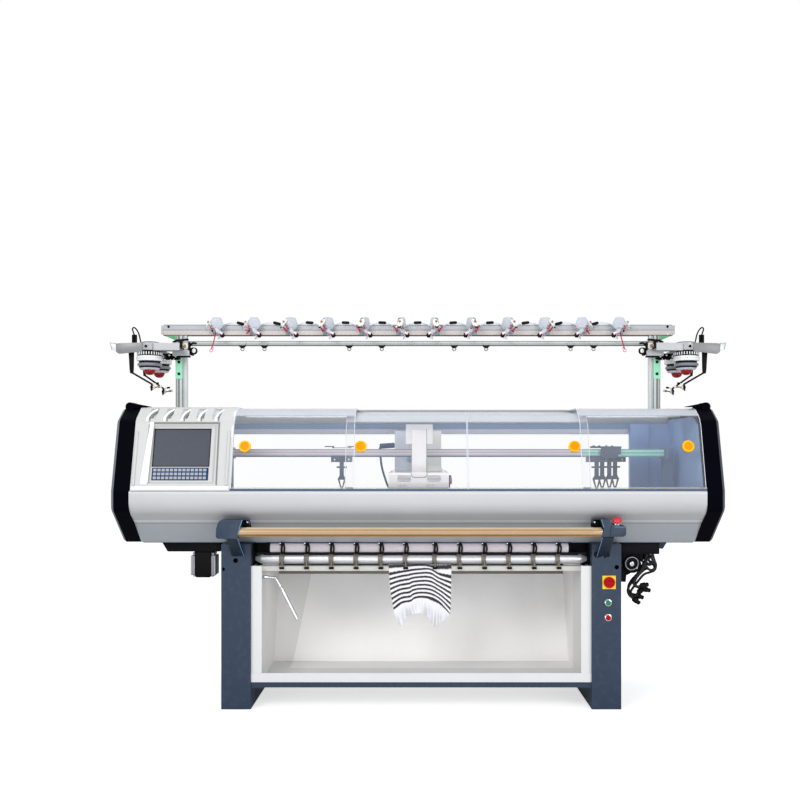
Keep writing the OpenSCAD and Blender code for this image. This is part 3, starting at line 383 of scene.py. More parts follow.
lowerMetal = surface("lowerBeamMetal", (104, 106, 108), rough=0.45, metal=0.1, grain=110, stretch=(1, 16, 16),
    mottle=0.04, gloss=0.3,
    steps=rising((1.6888, (172, 178, 177)), (1.6975, (200, 205, 203)), (1.7045, (128, 132, 132))))
postMetal = surface("postMetal", (206, 211, 212), rough=0.45, metal=0.15, grain=110, stretch=(16, 16, 1), mottle=0.05)
# the light bands and the lighter top are painted highlights along the bar; the dark bands mark its grooves
goldBar = surface("goldBar", (176, 136, 78), rough=0.36, metal=0.2, grain=100, stretch=(1, 20, 20), mottle=0.04,
    steps=rising((0.7955, (126, 86, 28)), (0.8005, (190, 160, 124)), (0.8185, (140, 106, 62)),
        (0.822, (206, 184, 150))))
chrome = surface("chrome", (214, 216, 220), rough=0.14, metal=1.0, grain=200, mottle=0.02, dust=0.02)
brushed = surface("brushedRoller", (226, 227, 232), rough=0.3, metal=0.6, grain=90, stretch=(1, 24, 24), mottle=0.03)
rollerWhite = surface("rollerWhite", (206, 198, 206), rough=0.5, grain=160, stretch=(6, 1, 1), mottle=0.05)
clipSteel = surface("clipSteel", (16, 15, 15), rough=0.4, grain=300, mottle=0.08, gloss=0.4,
    steps=rising((0.646, (150, 141, 128)), (0.728, (14, 14, 15))))
clipGrey = surface("clipGrey", (122, 117, 108), rough=0.34, metal=0.3, grain=300, mottle=0.06, gloss=0.4)
takedownGrey = surface("takedownGrey", (206, 205, 200), rough=0.45, grain=600, mottle=0.02,
    steps=rising((0.645, (1, 1, 2))), gloss=0.06, dust=0.0)
carrierBlue = surface("carrierBlue", (70, 84, 108), rough=0.44, metal=0.2, grain=600, mottle=0.06)
redPlastic = surface("redPlastic", (178, 0, 10), rough=0.34, **plastic, gloss=0.12)
stopRed = surface("stopRed", (206, 40, 56), rough=0.3, **plastic, gloss=0.4)
greenPlastic = surface("greenPlastic", (4, 128, 72), rough=0.3, **plastic, gloss=0.3)
plateYellow = surface("plateYellow", (206, 210, 212), rough=0.36, grain=700, mottle=0.03,
    steps=rising((0.53, (248, 206, 20))))
mintPaint = surface("mintPaint", (158, 238, 196), rough=0.4, grain=700, mottle=0.03,
    steps=rising((1.66, (86, 176, 122))))
driveBlack = surface("driveBlack", (4, 4, 7), rough=0.5, grain=500, mottle=0.1, bump=0.08, gloss=0.12, dust=0.0)
softBlack = surface("softBlack", (6, 6, 9), rough=0.55, grain=900, mottle=0.08, bump=0.08, gloss=0.15, dust=0.0)
wireBlack = surface("wireBlack", (6, 7, 14), rough=0.35, grain=900, mottle=0.08, bump=0.05, gloss=0.3, dust=0.0)
cordBlue = surface("cordBlue", (46, 80, 126), rough=0.5, grain=900, mottle=0.08, bump=0.1, gloss=0.2)
cableWhite = surface("cableWhite", (206, 216, 228), rough=0.45, grain=800, mottle=0.03)
shieldGrey = surface("shieldGrey", (196, 202, 212), rough=0.4, grain=1200, mottle=0.02, bump=0.08)
shieldSide = surface("shieldSide", (150, 156, 166), rough=0.45, grain=1200, mottle=0.04, bump=0.08)
ceramic = surface("ceramicWhite", (238, 236, 232), rough=0.22, grain=900, mottle=0.015, coat=0.3)
armRed = surface("armRed", (180, 10, 22), rough=0.35, grain=800, mottle=0.03)
rosePlastic = surface("rosePlastic", (226, 120, 170), rough=0.35, grain=800, mottle=0.03)
wireSilver = surface("wireSilver", (188, 192, 198), rough=0.3, metal=0.8, grain=300, mottle=0.04)
screenDark = surface("screenDark", (62, 68, 80), rough=0.32, grain=900, mottle=0.015, gloss=0.15, dust=0.01)
screenEdge = surface("screenEdge", (22, 25, 34), rough=0.4, grain=900, mottle=0.02, gloss=0.2, dust=0.01)
keysBlue = surface("keysBlue", (16, 62, 100), rough=0.5, grain=900, mottle=0.03, gloss=0.1, dust=0.0,
    steps=((faceAxis, 0.6557, (168, 170, 178)),))
drumGrey = surface("drumGrey", (128, 133, 142), rough=0.28, grain=900, mottle=0.03, coat=0.3)
drumSilver = surface("drumSilver", (196, 200, 208), rough=0.28, grain=900, mottle=0.03, coat=0.3)
drumWhite = surface("drumWhite", (240, 240, 242), rough=0.34, grain=900, mottle=0.015)
domeRed = surface("domeRed", (150, 6, 8), rough=0.26, **plastic, gloss=0.3)
feederSilver = surface("feederSilver", (178, 181, 184), rough=0.4, metal=0.3, grain=300, mottle=0.03)
feederShade = surface("feederShade", (136, 138, 138), rough=0.42, metal=0.3, grain=300, mottle=0.04)
paleCap = surface("paleCap", (222, 226, 230), rough=0.25, grain=900, mottle=0.01, coat=0.2)
brassTint = surface("brassTint", (150, 112, 84), rough=0.35, metal=0.6, grain=400, mottle=0.06)
clearOuter = clearSheet("clearDoorOuter", (214, 219, 226), 0.07, 1.326, 0.66)
clearInner = clearSheet("clearDoorInner", (214, 219, 226), 0.07, 1.298, 0.6)
# painted highlights along the edges of the clear doors
doorEdgeHighlight = surface("doorEdgeHighlight", (224, 228, 240), rough=0.3, grain=400, mottle=0.02)
trackMetal = surface("trackMetal", (66, 84, 112), rough=0.45, metal=0.1, grain=120, stretch=(1, 16, 16), mottle=0.03,
    steps=rising((0.9985, (246, 248, 250)), (1.1, (204, 207, 210))))
clearBand(trackMetal, 0.9985, 1.1, 0.1)

nodeFinish = ((darkBlue, "leg_left leg_right bar_brackets"), (railPaint, "cross_rails"),
    (trayPaintAndShade, "tray_floor tray_walls"), (bedBlue, "bed_beam"), (needleSteel, "needle_beds"),
    (railSteel, "carrier_rails"), (frameBlue, "inner_frame"), (panelGrey, "front_panel_upper"),
    (midGrey, "front_panel_lower"), (paleGrey, "rear_cover"), (whitePaint, "top_cover"), (trackMetal, "door_tracks"),
    (rimBlack, "end_rims"), (coverGrey, "end_covers"), (mouldedWhite, "control_housing"), (screenDark, "screen_unit"),
    (keysBlue, "keypad"), (clearOuter, "door_outer_left door_outer_right"),
    (clearInner, "door_inner_left door_inner_right"), (knobOuter, "knob_outer_left knob_outer_right"),
    (knobInner, "knob_inner_left knob_inner_right"), (carriageWhite, "carriage_front"),
    (bridgeWhite, "carriage_bridge"), (carrierBlue, "carrier_1 carrier_2 carrier_3 carrier_4 carrier_5"),
    (takedownGrey, "takedown_frame"), (clipSteel, "takedown_clips"), (brushed, "roller_main"),
    (rollerWhite, "roller_upper knitted_fabric"), (chrome, "drop_lever"), (goldBar, "start_bar"),
    (stopRed, "emergency_button"), (plateYellow, "switch_plate"), (redPlastic, "switch_knob red_button"),
    (greenPlastic, "green_button"), (driveBlack, "under_drives"), (postMetal, "stand_posts"),
    (mintPaint, "stand_plates"), (beamMetal, "beam_upper"), (lowerMetal, "beam_lower"), (shieldGrey, "tension_units"),
    (armRed, "tension_arms"), (cableWhite, "stand_cables"), (feederSilver, "feeder_mounts"),
    (drumWhite, "drum_left_front drum_left_rear drum_right_front drum_right_rear"))

for mat, names in nodeFinish:
    for name in names.split():
        paint(nodes[name], mat)
print("finishes are on the nodes")


# ---- modelling helpers, all sizes in millimetres ----

unit = 0.001
smoothAngle = 38


def mm(values):
    return Vector([v * unit for v in values])


def applyPlace(obj):
    activate(obj)
    bpy.ops.object.transform_apply(location=True, rotation=True, scale=True)


def setDown(obj, place, turn, mat):
    obj.rotation_euler = turn
    obj.location = mm(place)
    applyPlace(obj)
    return paint(obj, mat)


def angles(turn):
    return [math.radians(a) for a in turn]


def standing(axis):
    return Vector(axis).to_track_quat("Z", "Y").to_euler()


def bevelAll(edge, segments):
    bpy.ops.mesh.bevel(offset=edge * unit, segments=segments, affect="EDGES")


def roundBlock(size, place, mat, edge=1.5, turn=(0, 0, 0), segments=2):
    deselect()
    bpy.ops.mesh.primitive_cube_add(size=1, location=(0, 0, 0))
    obj = bpy.context.object
    obj.scale = mm(size)
    applyPlace(obj)
    editAll()
    bevelAll(edge, segments)
    editDone()
    return setDown(obj, place, angles(turn), mat)


def pickFaces(obj, test):
    activate(obj)
    bpy.ops.object.mode_set(mode="EDIT")
    bpy.ops.mesh.select_mode(type="FACE")
    bpy.ops.mesh.select_all(action="DESELECT")
    editDone()
    for face in obj.data.polygons:
        face.select = bool(test(face))
    bpy.ops.object.mode_set(mode="EDIT")


def sinkFace(obj, direction, border, depth):
    aim = Vector(direction)
    top = max(f.center.dot(aim) for f in obj.data.polygons)
    pickFaces(obj, lambda f: f.normal.dot(aim) > 0.98 and f.center.dot(aim) > top - 0.0005)
    bpy.ops.mesh.inset(thickness=border * unit, depth=0)
    bpy.ops.mesh.extrude_region_move(TRANSFORM_OT_translate={"value": aim * (-depth * unit)})
    editDone()
    return obj


def turnedPiece(profile, place, mat, axis=upward, sides=36):    # the profile is radius and height
    deselect()
    r0, z0 = profile[0]
    bpy.ops.mesh.primitive_circle_add(vertices=sides, radius=r0 * unit, fill_type="NGON", location=(0, 0, z0 * unit))
    obj = bpy.context.object
    applyPlace(obj)
    editAll()
    for (ra, za), (rb, zb) in zip(profile, profile[1:]):
        bpy.ops.mesh.extrude_region_move(TRANSFORM_OT_translate={"value": (0, 0, (zb - za) * unit)})
        if abs(rb - ra) > 1e-6:
            bpy.ops.transform.resize(value=(rb / ra, rb / ra, 1))
    bpy.ops.mesh.select_all(action="SELECT")
    bpy.ops.mesh.remove_doubles(threshold=1e-6)
    bpy.ops.mesh.normals_make_consistent(inside=False)
    editDone()
    return setDown(obj, place, standing(axis), mat)


def sheetFrom(corners, push):    # a flat outline pushed along a vector
    deselect()
    bpy.ops.mesh.primitive_circle_add(vertices=len(corners), radius=0.05, fill_type="NGON", location=(0, 0, 0))
    obj = bpy.context.object
    for vertex, corner in zip(obj.data.vertices, corners):
        vertex.co = mm(corner)
    editAll()
    bpy.ops.mesh.extrude_region_move(TRANSFORM_OT_translate={"value": push})
    bpy.ops.mesh.select_all(action="SELECT")
    bpy.ops.mesh.normals_make_consistent(inside=False)
    return obj


def platePiece(outline, thick, mat, edge=1.0, place=(0, 0, 0), turn=(0, 0, 0)):    # outline in X and Z, thick in Y
    obj = sheetFrom([(x, thick / 2, z) for x, z in outline], (0, -thick * unit, 0))
    if edge:
        bevelAll(edge, 2)
    editDone()
    return setDown(obj, place, angles(turn), mat)


def ringPiece(radius, thick, place, mat, axis=upward, sides=28):
    deselect()
    bpy.ops.mesh.primitive_torus_add(major_radius=radius * unit, minor_radius=thick * unit, major_segments=sides,
        minor_segments=10, location=(0, 0, 0))
    obj = bpy.context.object
    editAll()
    bpy.ops.transform.resize(value=(1, 1, 1.15))
    editDone()
    return setDown(obj, place, standing(axis), mat)


def lineCurve(name, points, radius, mat):
    data = bpy.data.curves.new(name, "CURVE")
    data.dimensions = "3D"
    data.bevel_depth = radius * unit
    data.bevel_resolution = 3
    data.use_fill_caps = True
    spline = data.splines.new("POLY")
    spline.points.add(len(points) - 1)
    for point, place in zip(spline.points, points):
        point.co = (*mm(place), 1)
    obj = bpy.data.objects.new(name, data)
    bpy.context.scene.collection.objects.link(obj)
    obj.data.materials.append(mat)
    return obj


def bentLine(marks, steps=6):    # a smooth line through the marks
    marks = [Vector(m) for m in marks]
    ends = [2 * marks[0] - marks[1]] + marks + [2 * marks[-1] - marks[-2]]
    points = []
    for a, b, c, d in zip(ends, ends[1:], ends[2:], ends[3:]):
        for k in range(steps):
            t = k / steps
            points.append(0.5 * ((2 * b) + (c - a) * t + (2 * a - 5 * b + 4 * c - d) * t * t + (3 * b - a - 3 * c
                + d) * t * t * t))
    points.append(marks[-1])
    return points


def meshOf(obj):
    activate(obj)
    bpy.ops.object.convert(target="MESH")
    return bpy.context.object


def wirePiece(marks, radius, mat, steps=6):
    return meshOf(lineCurve("wire", bentLine(marks, steps) if steps else [Vector(m) for m in marks], radius, mat))


def springPiece(radius, wire, turns, length, place, mat, axis=upward):
    count = int(turns * 10)
    points = [(radius * math.cos(k * 0.2 * math.pi), radius * math.sin(k * 0.2 * math.pi),
        length * k / count) for k in range(count + 1)]
    obj = lineCurve("spring", points, wire, mat)
    obj.data.bevel_resolution = 1
    return setDown(meshOf(obj), place, standing(axis), mat)


def joinAll(parts, name):
    deselect()
    for part in parts:
        part.select_set(True)
    bpy.context.view_layer.objects.active = parts[0]
    if len(parts) > 1:
        bpy.ops.object.join()
    obj = bpy.context.object
    obj.name = name
    bpy.ops.object.shade_smooth_by_angle(angle=math.radians(smoothAngle))
    return obj


def copyPiece(obj, name, move=None, mirrored=False):
    new = obj.copy()
    new.data = obj.data.copy()
    new.name = name
    bpy.context.scene.collection.objects.link(new)
    if move is not None:
        new.data.transform(move)
    if mirrored:
        new.data.transform(Matrix.Scale(-1, 4, rightward))
        activate(new)
        editAll()
        bpy.ops.mesh.flip_normals()
        editDone()
    return new


def settle(piece, body, *stands):    # the piece rides on the body and stands for these nodes
    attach(piece, body)
    if stands:
        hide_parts(*stands)
    return piece


def shift(x=0.0, y=0.0, z=0.0):
    return Matrix.Translation(mm((x, y, z)))


def freeCord(name, points, radius, mat, sleeves=(), stands=(), body="machine"):
    obj = lineCurve(name, points, radius, mat)
    settle(obj, body, *stands)
    for sleeve in sleeves:
        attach(sleeve, body)
    return obj


# ---- cables of the yarn stand ----

standCable = {"pitch": 180, "y": 92.5, "deck": 1788, "foot": -20, "rise": 28, "reach": 78.4, "radius": 3.2,
    "sleeveAt": (0.68, 0.67, 0.55, 0.53, 0.53, 0.49, 0.455, 0.455, 0.42, 0.32, 0.3)}


def standCables(v):
    r = (v["reach"] ** 2 + v["rise"] ** 2) / 2 / v["rise"]
    turn = math.asin(v["reach"] / r)
    low = v["deck"] + v["foot"] + v["rise"] - r
    sleeve = turnedPiece([(3.6, -19), (6.2, -17), (7.4, -12), (7.4, 12), (6.2, 17), (3.6, 19)], (0, 0, 0), softBlack,
        axis=rightward, sides=20)
    sleeve = joinAll([sleeve], "cableSleeve")
    for i in range(11):
        middle = (i - 5.5) * v["pitch"] + v["pitch"] / 2
        angles = [math.pi / 2 + turn - 2 * turn * k / 20 for k in range(21)]
        points = [(middle + r * math.cos(a), v["y"], low + r * math.sin(a)) for a in angles]
        at = math.pi / 2 + turn - 2 * turn * v["sleeveAt"][i]
        lean = Matrix.Rotation(math.pi / 2 - at, 4, "Y")
        part = copyPiece(sleeve, f"cableSleeve_{i + 1}",
            shift(middle + r * math.cos(at), v["y"], low + r * math.sin(at)) @ lean)
        freeCord(f"standCable_{i + 1}", points, v["radius"], cableWhite, [part],
            stands=["stand_cables"])
    bpy.data.objects.remove(sleeve)


standCables(standCable)

feederCable = {"x": 1383,
    "marks": ((0, 69, 1731), (6, 68, 1748), (8, 64, 1762), (0, 60, 1768), (-14, 54, 1758), (-28, 48, 1734),
        (-36, 42, 1706), (-40, 38, 1694)), "radius": 3.4}


def feederCables(v):
    for side, word in ((1, "right"), (-1, "left")):
        marks = [(side * (v["x"] + x), y, z) for x, y, z in v["marks"]]
        freeCord(f"feederCable_{word}", bentLine(marks, 5), v["radius"], driveBlack)


feederCables(feederCable)

harness = {"radius": 5.8,
    "runs": (((1050, -98, 686), (1048, -99, 664), (1062, -100, 641), (1090, -102, 632), (1106, -103, 650),
            (1094, -104, 668), (1070, -105, 656), (1050, -107, 624), (1028, -110, 590), (1002, -112, 562),
            (986, -113, 530), (996, -114, 502), (1022, -115, 492)),
        ((1070, -112, 686), (1076, -114, 660), (1096, -116, 642), (1108, -118, 622), (1094, -119, 608),
            (1070, -120, 616), (1048, -121, 602), (1024, -122, 576), (1012, -124, 550), (1028, -126, 530),
            (1050, -128, 524)),
        ((1084, -148, 686), (1092, -149, 662), (1105, -149, 640), (1100, -148, 618), (1078, -147, 614),
            (1058, -146, 630), (1042, -144, 610), (1018, -142, 578), (994, -140, 552), (978, -138, 520),
            (986, -136, 494), (1006, -134, 478)),
        ((1062, -156, 686), (1055, -158, 662), (1068, -161, 644), (1088, -162, 656), (1078, -163, 674),
            (1056, -163, 656), (1040, -162, 620), (1014, -158, 586), (1000, -155, 556), (1014, -152, 536),
            (1036, -150, 540)),
        ((1096, -130, 686), (1103, -131, 660), (1111, -132, 634), (1103, -133, 610), (1080, -133, 600),
            (1054, -132, 590), (1028, -131, 560), (1008, -130, 534), (994, -129, 508), (1006, -128, 486),
            (1030, -127, 506)))}


def wiringHarness(v):
    for i, marks in enumerate(v["runs"]):
        away = (Vector(marks[-1]) - Vector(marks[-2])).normalized()
        plug = turnedPiece([(6, -4), (11, -2), (13, 2), (13, 20), (10, 23), (10, 34), (7, 37)], marks[-1], softBlack,
            axis=tuple(away), sides=18)
        plug = joinAll([plug], f"harnessPlug_{i + 1}")
        freeCord(f"harnessCable_{i + 1}", bentLine(marks, 5), v["radius"], wireBlack, [plug])


wiringHarness(harness)

carriageCable = {"radius": 5.4,
    "marks": ((-117, 186, 1186), (-140, 186, 1196), (-168, 184, 1199), (-186, 178, 1188), (-192, 166, 1166),
        (-186, 150, 1136), (-181, 134, 1100), (-173, 122, 1066), (-160, 114, 1026), (-148, 110, 994),
        (-134, 110, 980))}


def carriageCord(v):
    wrap = turnedPiece([(7, -38), (11, -36)] + [(12 + 2.4 * (k % 2), -34 + 4 * k) for k in range(18)] + [(11, 36),
                           (7, 38)], (-154, 185, 1193), cordBlue, axis=(1, 0, 0.06), sides=24)
    wrap = joinAll([wrap], "carriageCordWrap")
    freeCord("carriageCable", bentLine(v["marks"], 5), v["radius"], cordBlue, [wrap],
        body="carriage")


carriageCord(carriageCable)
print("cables are laid")


# ---- knitted piece ----

knit = {"top": 648, "face": -229.4, "rows": 9, "body": 0.78, "across": 120, "down": 130,
    "left": ((0, -134), (0.4, -126), (0.71, -113), (0.82, -108), (1, -92)),
    "right": ((0, 153), (0.3, 151), (0.6, 149), (0.82, 144), (1, 137)),
    "rowFirst": ((0, 5), (0.3, 2), (0.56, 1), (0.74, 12), (1, 3)),
    "rowSecond": ((0, 43), (0.25, 29), (0.51, 19), (0.67, 20), (0.8, 42), (1, 57)),
    "rowLast": ((0, 200), (0.15, 171), (0.31, 162), (0.36, 151), (0.47, 144), (0.65, 149), (0.82, 173), (1, 226)),
    "hem": ((0, 262), (0.04, 278), (0.1, 272), (0.16, 240), (0.3, 226), (0.45, 218), (0.57, 230), (0.66, 260),
        (0.72, 281), (0.77, 276), (1, 238))}


def along(line, t):    # a smooth line through the marks
    marks = [(2 * line[0][0] - line[1][0], 2 * line[0][1] - line[1][1])] + list(line)
    marks.append((2 * line[-1][0] - line[-2][0], 2 * line[-1][1] - line[-2][1]))
    for (a, va), (b, vb), (c, vc), (d, vd) in zip(marks, marks[1:], marks[2:], marks[3:]):
        if t <= c or d > 1:
            s = min(1.0, (t - b) / (c - b))
            rise, fall = (vc - va) / (c - a) * (c - b), (vd - vb) / (d - b) * (c - b)
            return (vb * (1 + 2 * s) * (1 - s) ** 2 + rise * s * (1 - s) ** 2 + vc * s * s * (3 - 2 * s)
                + fall * s * s * (s - 1))
    return line[-1][1]


def knitPlace(v, s, t):
    row = t / v["body"] * v["rows"]
    first, second, last = (along(v[k], s) for k in ("rowFirst", "rowSecond", "rowLast"))
    drops = ((0, 0), (0.2, first), (1.2, second), (8.2, last),
        (v["rows"] / v["body"], max(along(v["hem"], s), last + 9)))
    for (a, da), (b, db) in zip(drops, drops[1:]):
        if row <= b + 1e-9:
            drop = da + (db - da) * (row - a) / (b - a)
            break
    left, right = along(v["left"], t), along(v["right"], t)
    border = max(0.0, (t - 0.74) / 0.26) ** 0.9
    fold = border * (8.0 + math.sin(s * 34 + 0.6) * 4.6 + math.sin(s * 57 + 2.0) * 2.6)
    broad = 4.5 * t * (1 + math.sin(s * 5.2 - 0.9))
    return (left + (right - left) * s, v["face"] - broad - fold, v["top"] - drop)


def knitMaterial(v):    # black stripes on pale yarn, painted shade in the pleats of the hem, stitches in relief
    mat, tree, shader = newMaterial("stripedKnit")
    cloth = addNode(tree, "UVMap", uv_map="knit").outputs[0]
    down = addNode(tree, "SeparateXYZ", {0: cloth}).outputs["Y"]
    ragged = spread(tree, noise(tree, cloth, 60.0, 2.0), 0.3, 0.7, -0.06, 0.06)
    row = maths(tree, "ADD", maths(tree, "MULTIPLY", down, v["rows"] / v["body"]), ragged)
    part = maths(tree, "FRACT", row)
    stripe = maths(tree, "MULTIPLY", spread(tree, part, 0.0, 0.06), spread(tree, part, 0.46, 0.58, 1.0, 0.0))
    shown = maths(tree, "MULTIPLY", stripe, maths(tree, "LESS_THAN", down, v["body"] * 0.99))
    pleats = addNode(tree, "Mapping", {0: cloth, "Scale": (26, 2.5, 1)}).outputs[0]
    deep = spread(tree, noise(tree, pleats, 1.0, 1.5), 0.36, 0.62)
    # painted shade in the pleat folds of the hem
    shadow = maths(tree, "MULTIPLY", deep, spread(tree, down, v["body"], 0.9, 0.0, 0.75))
    yarn = mixColour(tree, shadow, linear((238, 238, 242)), linear((188, 188, 198)))
    ink = mixColour(tree, noise(tree, cloth, 420.0, 3.0), linear((18, 14, 17)), linear((64, 52, 54)))
    stitch = addNode(tree, "Mapping", {0: cloth, "Scale": (70, 95, 1)}).outputs[0]
    loops = addNode(tree, "TexVoronoi", {"Vector": stitch}, Scale=1.0, Randomness=0.25).outputs["Distance"]
    relief = addNode(tree, "Bump", {"Height": loops}, Strength=0.5, Distance=0.0012)
    for label, value in (("Base Color", mixColour(tree, shown, yarn, ink)), ("Normal", relief.outputs["Normal"]),
            ("Roughness", spread(tree, loops, 0.0, 1.0, 0.78, 0.92)), ("Sheen Weight", 0.25)):
        feed(tree, value, shader[label])
    return mat


def knittedPiece(v):
    deselect()
    bpy.ops.mesh.primitive_grid_add(x_subdivisions=v["across"], y_subdivisions=v["down"], size=1)
    obj = bpy.context.object
    obj.name = "knittedPiece"
    uv = obj.data.uv_layers.active or obj.data.uv_layers.new()
    uv.name = "knit"
    flat = [(vertex.co.x + 0.5, 0.5 - vertex.co.y) for vertex in obj.data.vertices]
    for loop in obj.data.loops:
        uv.data[loop.index].uv = flat[loop.vertex_index]
    for vertex, (s, t) in zip(obj.data.vertices, flat):
        vertex.co = mm(knitPlace(v, s, t))
    obj.data.update()
    activate(obj)
    editAll()
    bpy.ops.mesh.normals_make_consistent(inside=False)
    editDone()
    thick = obj.modifiers.new("cloth", "SOLIDIFY")
    thick.thickness = 0.0016
    thick.offset = 0
    bpy.ops.object.modifier_apply(modifier="cloth")
    bpy.ops.object.shade_smooth()
    paint(obj, knitMaterial(v))
    settle(obj, "machine", "knitted_fabric")


knittedPiece(knit)


# ---- tension units on the upper beam ----

tensionUnit = {"pitch": 180, "deck": 1788, "axisY": 74, "drop": 7, "turns": (10, 16, 34, 44, 62, 74),
    "shield": ((-15, -16), (22, -19), (36, 4), (22, 38), (-17, 38), (-32, 12)),
    "plate": ((-11, -11), (17, -14), (29, 4), (18, 32), (-13, 32), (-26, 10))}


def softOutline(points, radius, steps=4):
    result = []
    count = len(points)
    for i, corner in enumerate(points):
        c = Vector(corner)
        a = (Vector(points[i - 1]) - c).normalized() * radius
        b = (Vector(points[(i + 1) % count]) - c).normalized() * radius
        for k in range(steps + 1):
            t = k / steps
            result.append(tuple((c + a) * (1 - t) ** 2 + c * 2 * t * (1 - t) + (c + b) * t ** 2))
    return result


def tensionHead(v):    # shield and discs, at the swivel axis
    parts = [platePiece(softOutline(v["shield"], 6), 7, shieldGrey, 1.2, (0, -11.4, 0)),
        platePiece(softOutline(v["plate"], 5), 3, shieldGrey, 0.9, (0, -16.4, 0))]
    for k in range(4):
        small = 0.97 - 0.03 * (k % 2)
        outline = [(x * small, z * small) for x, z in v["shield"]]
        parts.append(platePiece(softOutline(outline, 6), 3.6, shieldSide, 0.7, (0, -5.6 + 4.4 * k, 0)))
    for k in range(3):
        parts.append(turnedPiece([(5, -3), (9.6, -2.6), (13.4, -0.8), (14, 0.4), (13.4, 1.4), (8.6, 2.2), (5, 3)],
            (-30 - 8 * k, -8, 14 - 10 * k), ceramic, axis=(-1, 0, 0.5), sides=28))
        parts.append(turnedPiece([(8, -1), (10.4, -0.8), (10.4, 0.8), (8, 1)], (-34 - 8 * k, -8, 9 - 10 * k),
            softBlack, axis=(-1, 0, 0.5), sides=24))
    parts.append(turnedPiece([(4, -2), (4, 18), (5.6, 19), (5.6, 24), (4.2, 26)], (-18, -6, 8), brassTint,
        axis=(-1, 0, 0.3), sides=20))
    parts.append(wirePiece([(-20, -14, -4), (-28, -18, -12), (-24, -20, -20), (-16, -18, -16)], 2.4, armRed))
    return joinAll(parts, "tensionHead")


def tensionBase(v):    # base, saddle, drop and its fittings, at x = 0
    deck, y = v["deck"], v["axisY"]
    bracketLine = [(-6, 0), (12, 2), (24, -14), (40, -34), (38, -46), (28, -48), (16, -30), (2, -22)]
    parts = [sinkFace(roundBlock((24, 106, 12), (0, 119, deck + 6), shieldSide, 1.5), upward, 3, 2),
        roundBlock((36, 6, 48), (0, 102, deck - 24), shieldSide, 1.2),
        roundBlock((18, 33, 42), (0, 82.5, deck - 21), shieldSide, 2),
        platePiece(softOutline(bracketLine, 3), 5, feederSilver, 0.8, (4, 62, deck - 20)),
        platePiece(softOutline([(x * 0.7 + 6, z * 0.75 - 4) for x, z in bracketLine], 3), 4, shieldGrey, 0.8,
            (2, 56, deck - 24)),
        turnedPiece([(3, 0), (3, 4), (6, 4.6), (6, 8), (4, 9)], (-9, y, deck - 34), driveBlack, axis=(-1, 0, 0),
            sides=18),
        springPiece(4.6, 1, 5, 20, (12, 56, deck - 62), wireSilver),
        turnedPiece([(8, -3), (12, -2), (12.4, 2), (8, 3)], (38, 54, deck - 58), softBlack, axis=(0.6, -1, 0),
            sides=28),
        ringPiece(8.5, 2.6, (32, 51, deck - 55), rosePlastic, axis=(0.5, -1, 0)),
        turnedPiece([(3, 0), (5, 1), (5, 10), (6.4, 11), (6.4, 15), (4, 16)], (26, 50, deck - 46), ceramic,
            axis=(1, -0.3, -0.4), sides=20),
        roundBlock((8, 8, 20), (22, 54, deck - 68), feederSilver, 2, turn=(0, 20, 0)),
        wirePiece([(12, 60, deck - 30), (18, 55, deck - 44), (28, 54, deck - 56), (34, 55, deck - 68),
                (28, 56, deck - 76)], 1.7, wireSilver)]
    for dx in (-12, 12):
        parts.append(turnedPiece([(3, 0), (5, 0.6), (5, 2.6), (3, 3.4)], (dx, 98.9, deck - 12), chrome, axis=forward,
            sides=12))
    return joinAll(parts, "tensionBase")


def tensionUnits(v):
    head = tensionHead(v)
    base = tensionBase(v)
    for i in range(12):
        x = (i - 5.5) * v["pitch"]
        angle = v["turns"][min(i, 11 - i)]
        turned = Matrix.Rotation(math.radians(angle), 4, "Z")
        put = shift(-abs(x) + 6, v["axisY"], v["deck"] - v["drop"]) @ turned
        top = copyPiece(head, f"tensionHead_{i + 1}", put, mirrored=i > 5)
        low = copyPiece(base, f"tensionBase_{i + 1}", shift(-abs(x)), mirrored=i > 5)
        for piece in (top, low):
            settle(piece, "machine", "tension_units")
    bpy.data.objects.remove(head)
    bpy.data.objects.remove(base)


tensionUnits(tensionUnit)

swingArm = {"pitch": 180, "z": 1754}


def tensionArms(v):    # the outer arms are long with an eye, the next ones forked, the others short
    z = v["z"]
    for i in range(12):
        x, side = (i - 5.5) * v["pitch"], 1 if i < 6 else -1
        if i in (0, 11):
            parts = [wirePiece([(x, 72, z), (x + side * 2, 68, z - 18), (x - side * 6, 62, z - 56),
                        (x - side * 15, 57, z - 90)], 3, armRed),
                ringPiece(7, 1.8, (x - side * 16, 56, z - 98), rosePlastic, axis=(0.2, -1, 0)),
                wirePiece([(x - side * 12, 56, z - 88), (x - side * 6, 55, z - 84), (x - side * 5, 55, z - 92)], 1.6,
                    rosePlastic)]
        elif i in (1, 10):
            parts = [wirePiece([(x, 72, z), (x - side * 14, 66, z - 6), (x - side * 26, 62, z - 16)], 3.2, armRed),
                wirePiece([(x - side * 14, 66, z - 6), (x - side * 24, 62, z - 2), (x - side * 30, 60, z + 2)], 2.4,
                    armRed),
                wirePiece([(x - side * 12, 66, z - 6), (x - side * 12, 64, z - 16)], 2.2, rosePlastic)]
        else:
            parts = [wirePiece([(x, 72, z), (x - side * 10, 66, z - 2), (x - side * 22, 60, z + 10),
                        (x - side * 30, 56, z + 24)], 3.6, armRed),
                wirePiece([(x - side * 22, 60, z + 10), (x - side * 26, 58, z - 4)], 2.2, rosePlastic)]
        piece = joinAll(parts, f"tensionArm_{i + 1}")
        settle(piece, "tension_arms", "tension_arms")


tensionArms(swingArm)
print("tension units are set")


# ---- storage feeders at both ends ----

drum = {"x": 1295, "y": (20, 190), "top": 1645}


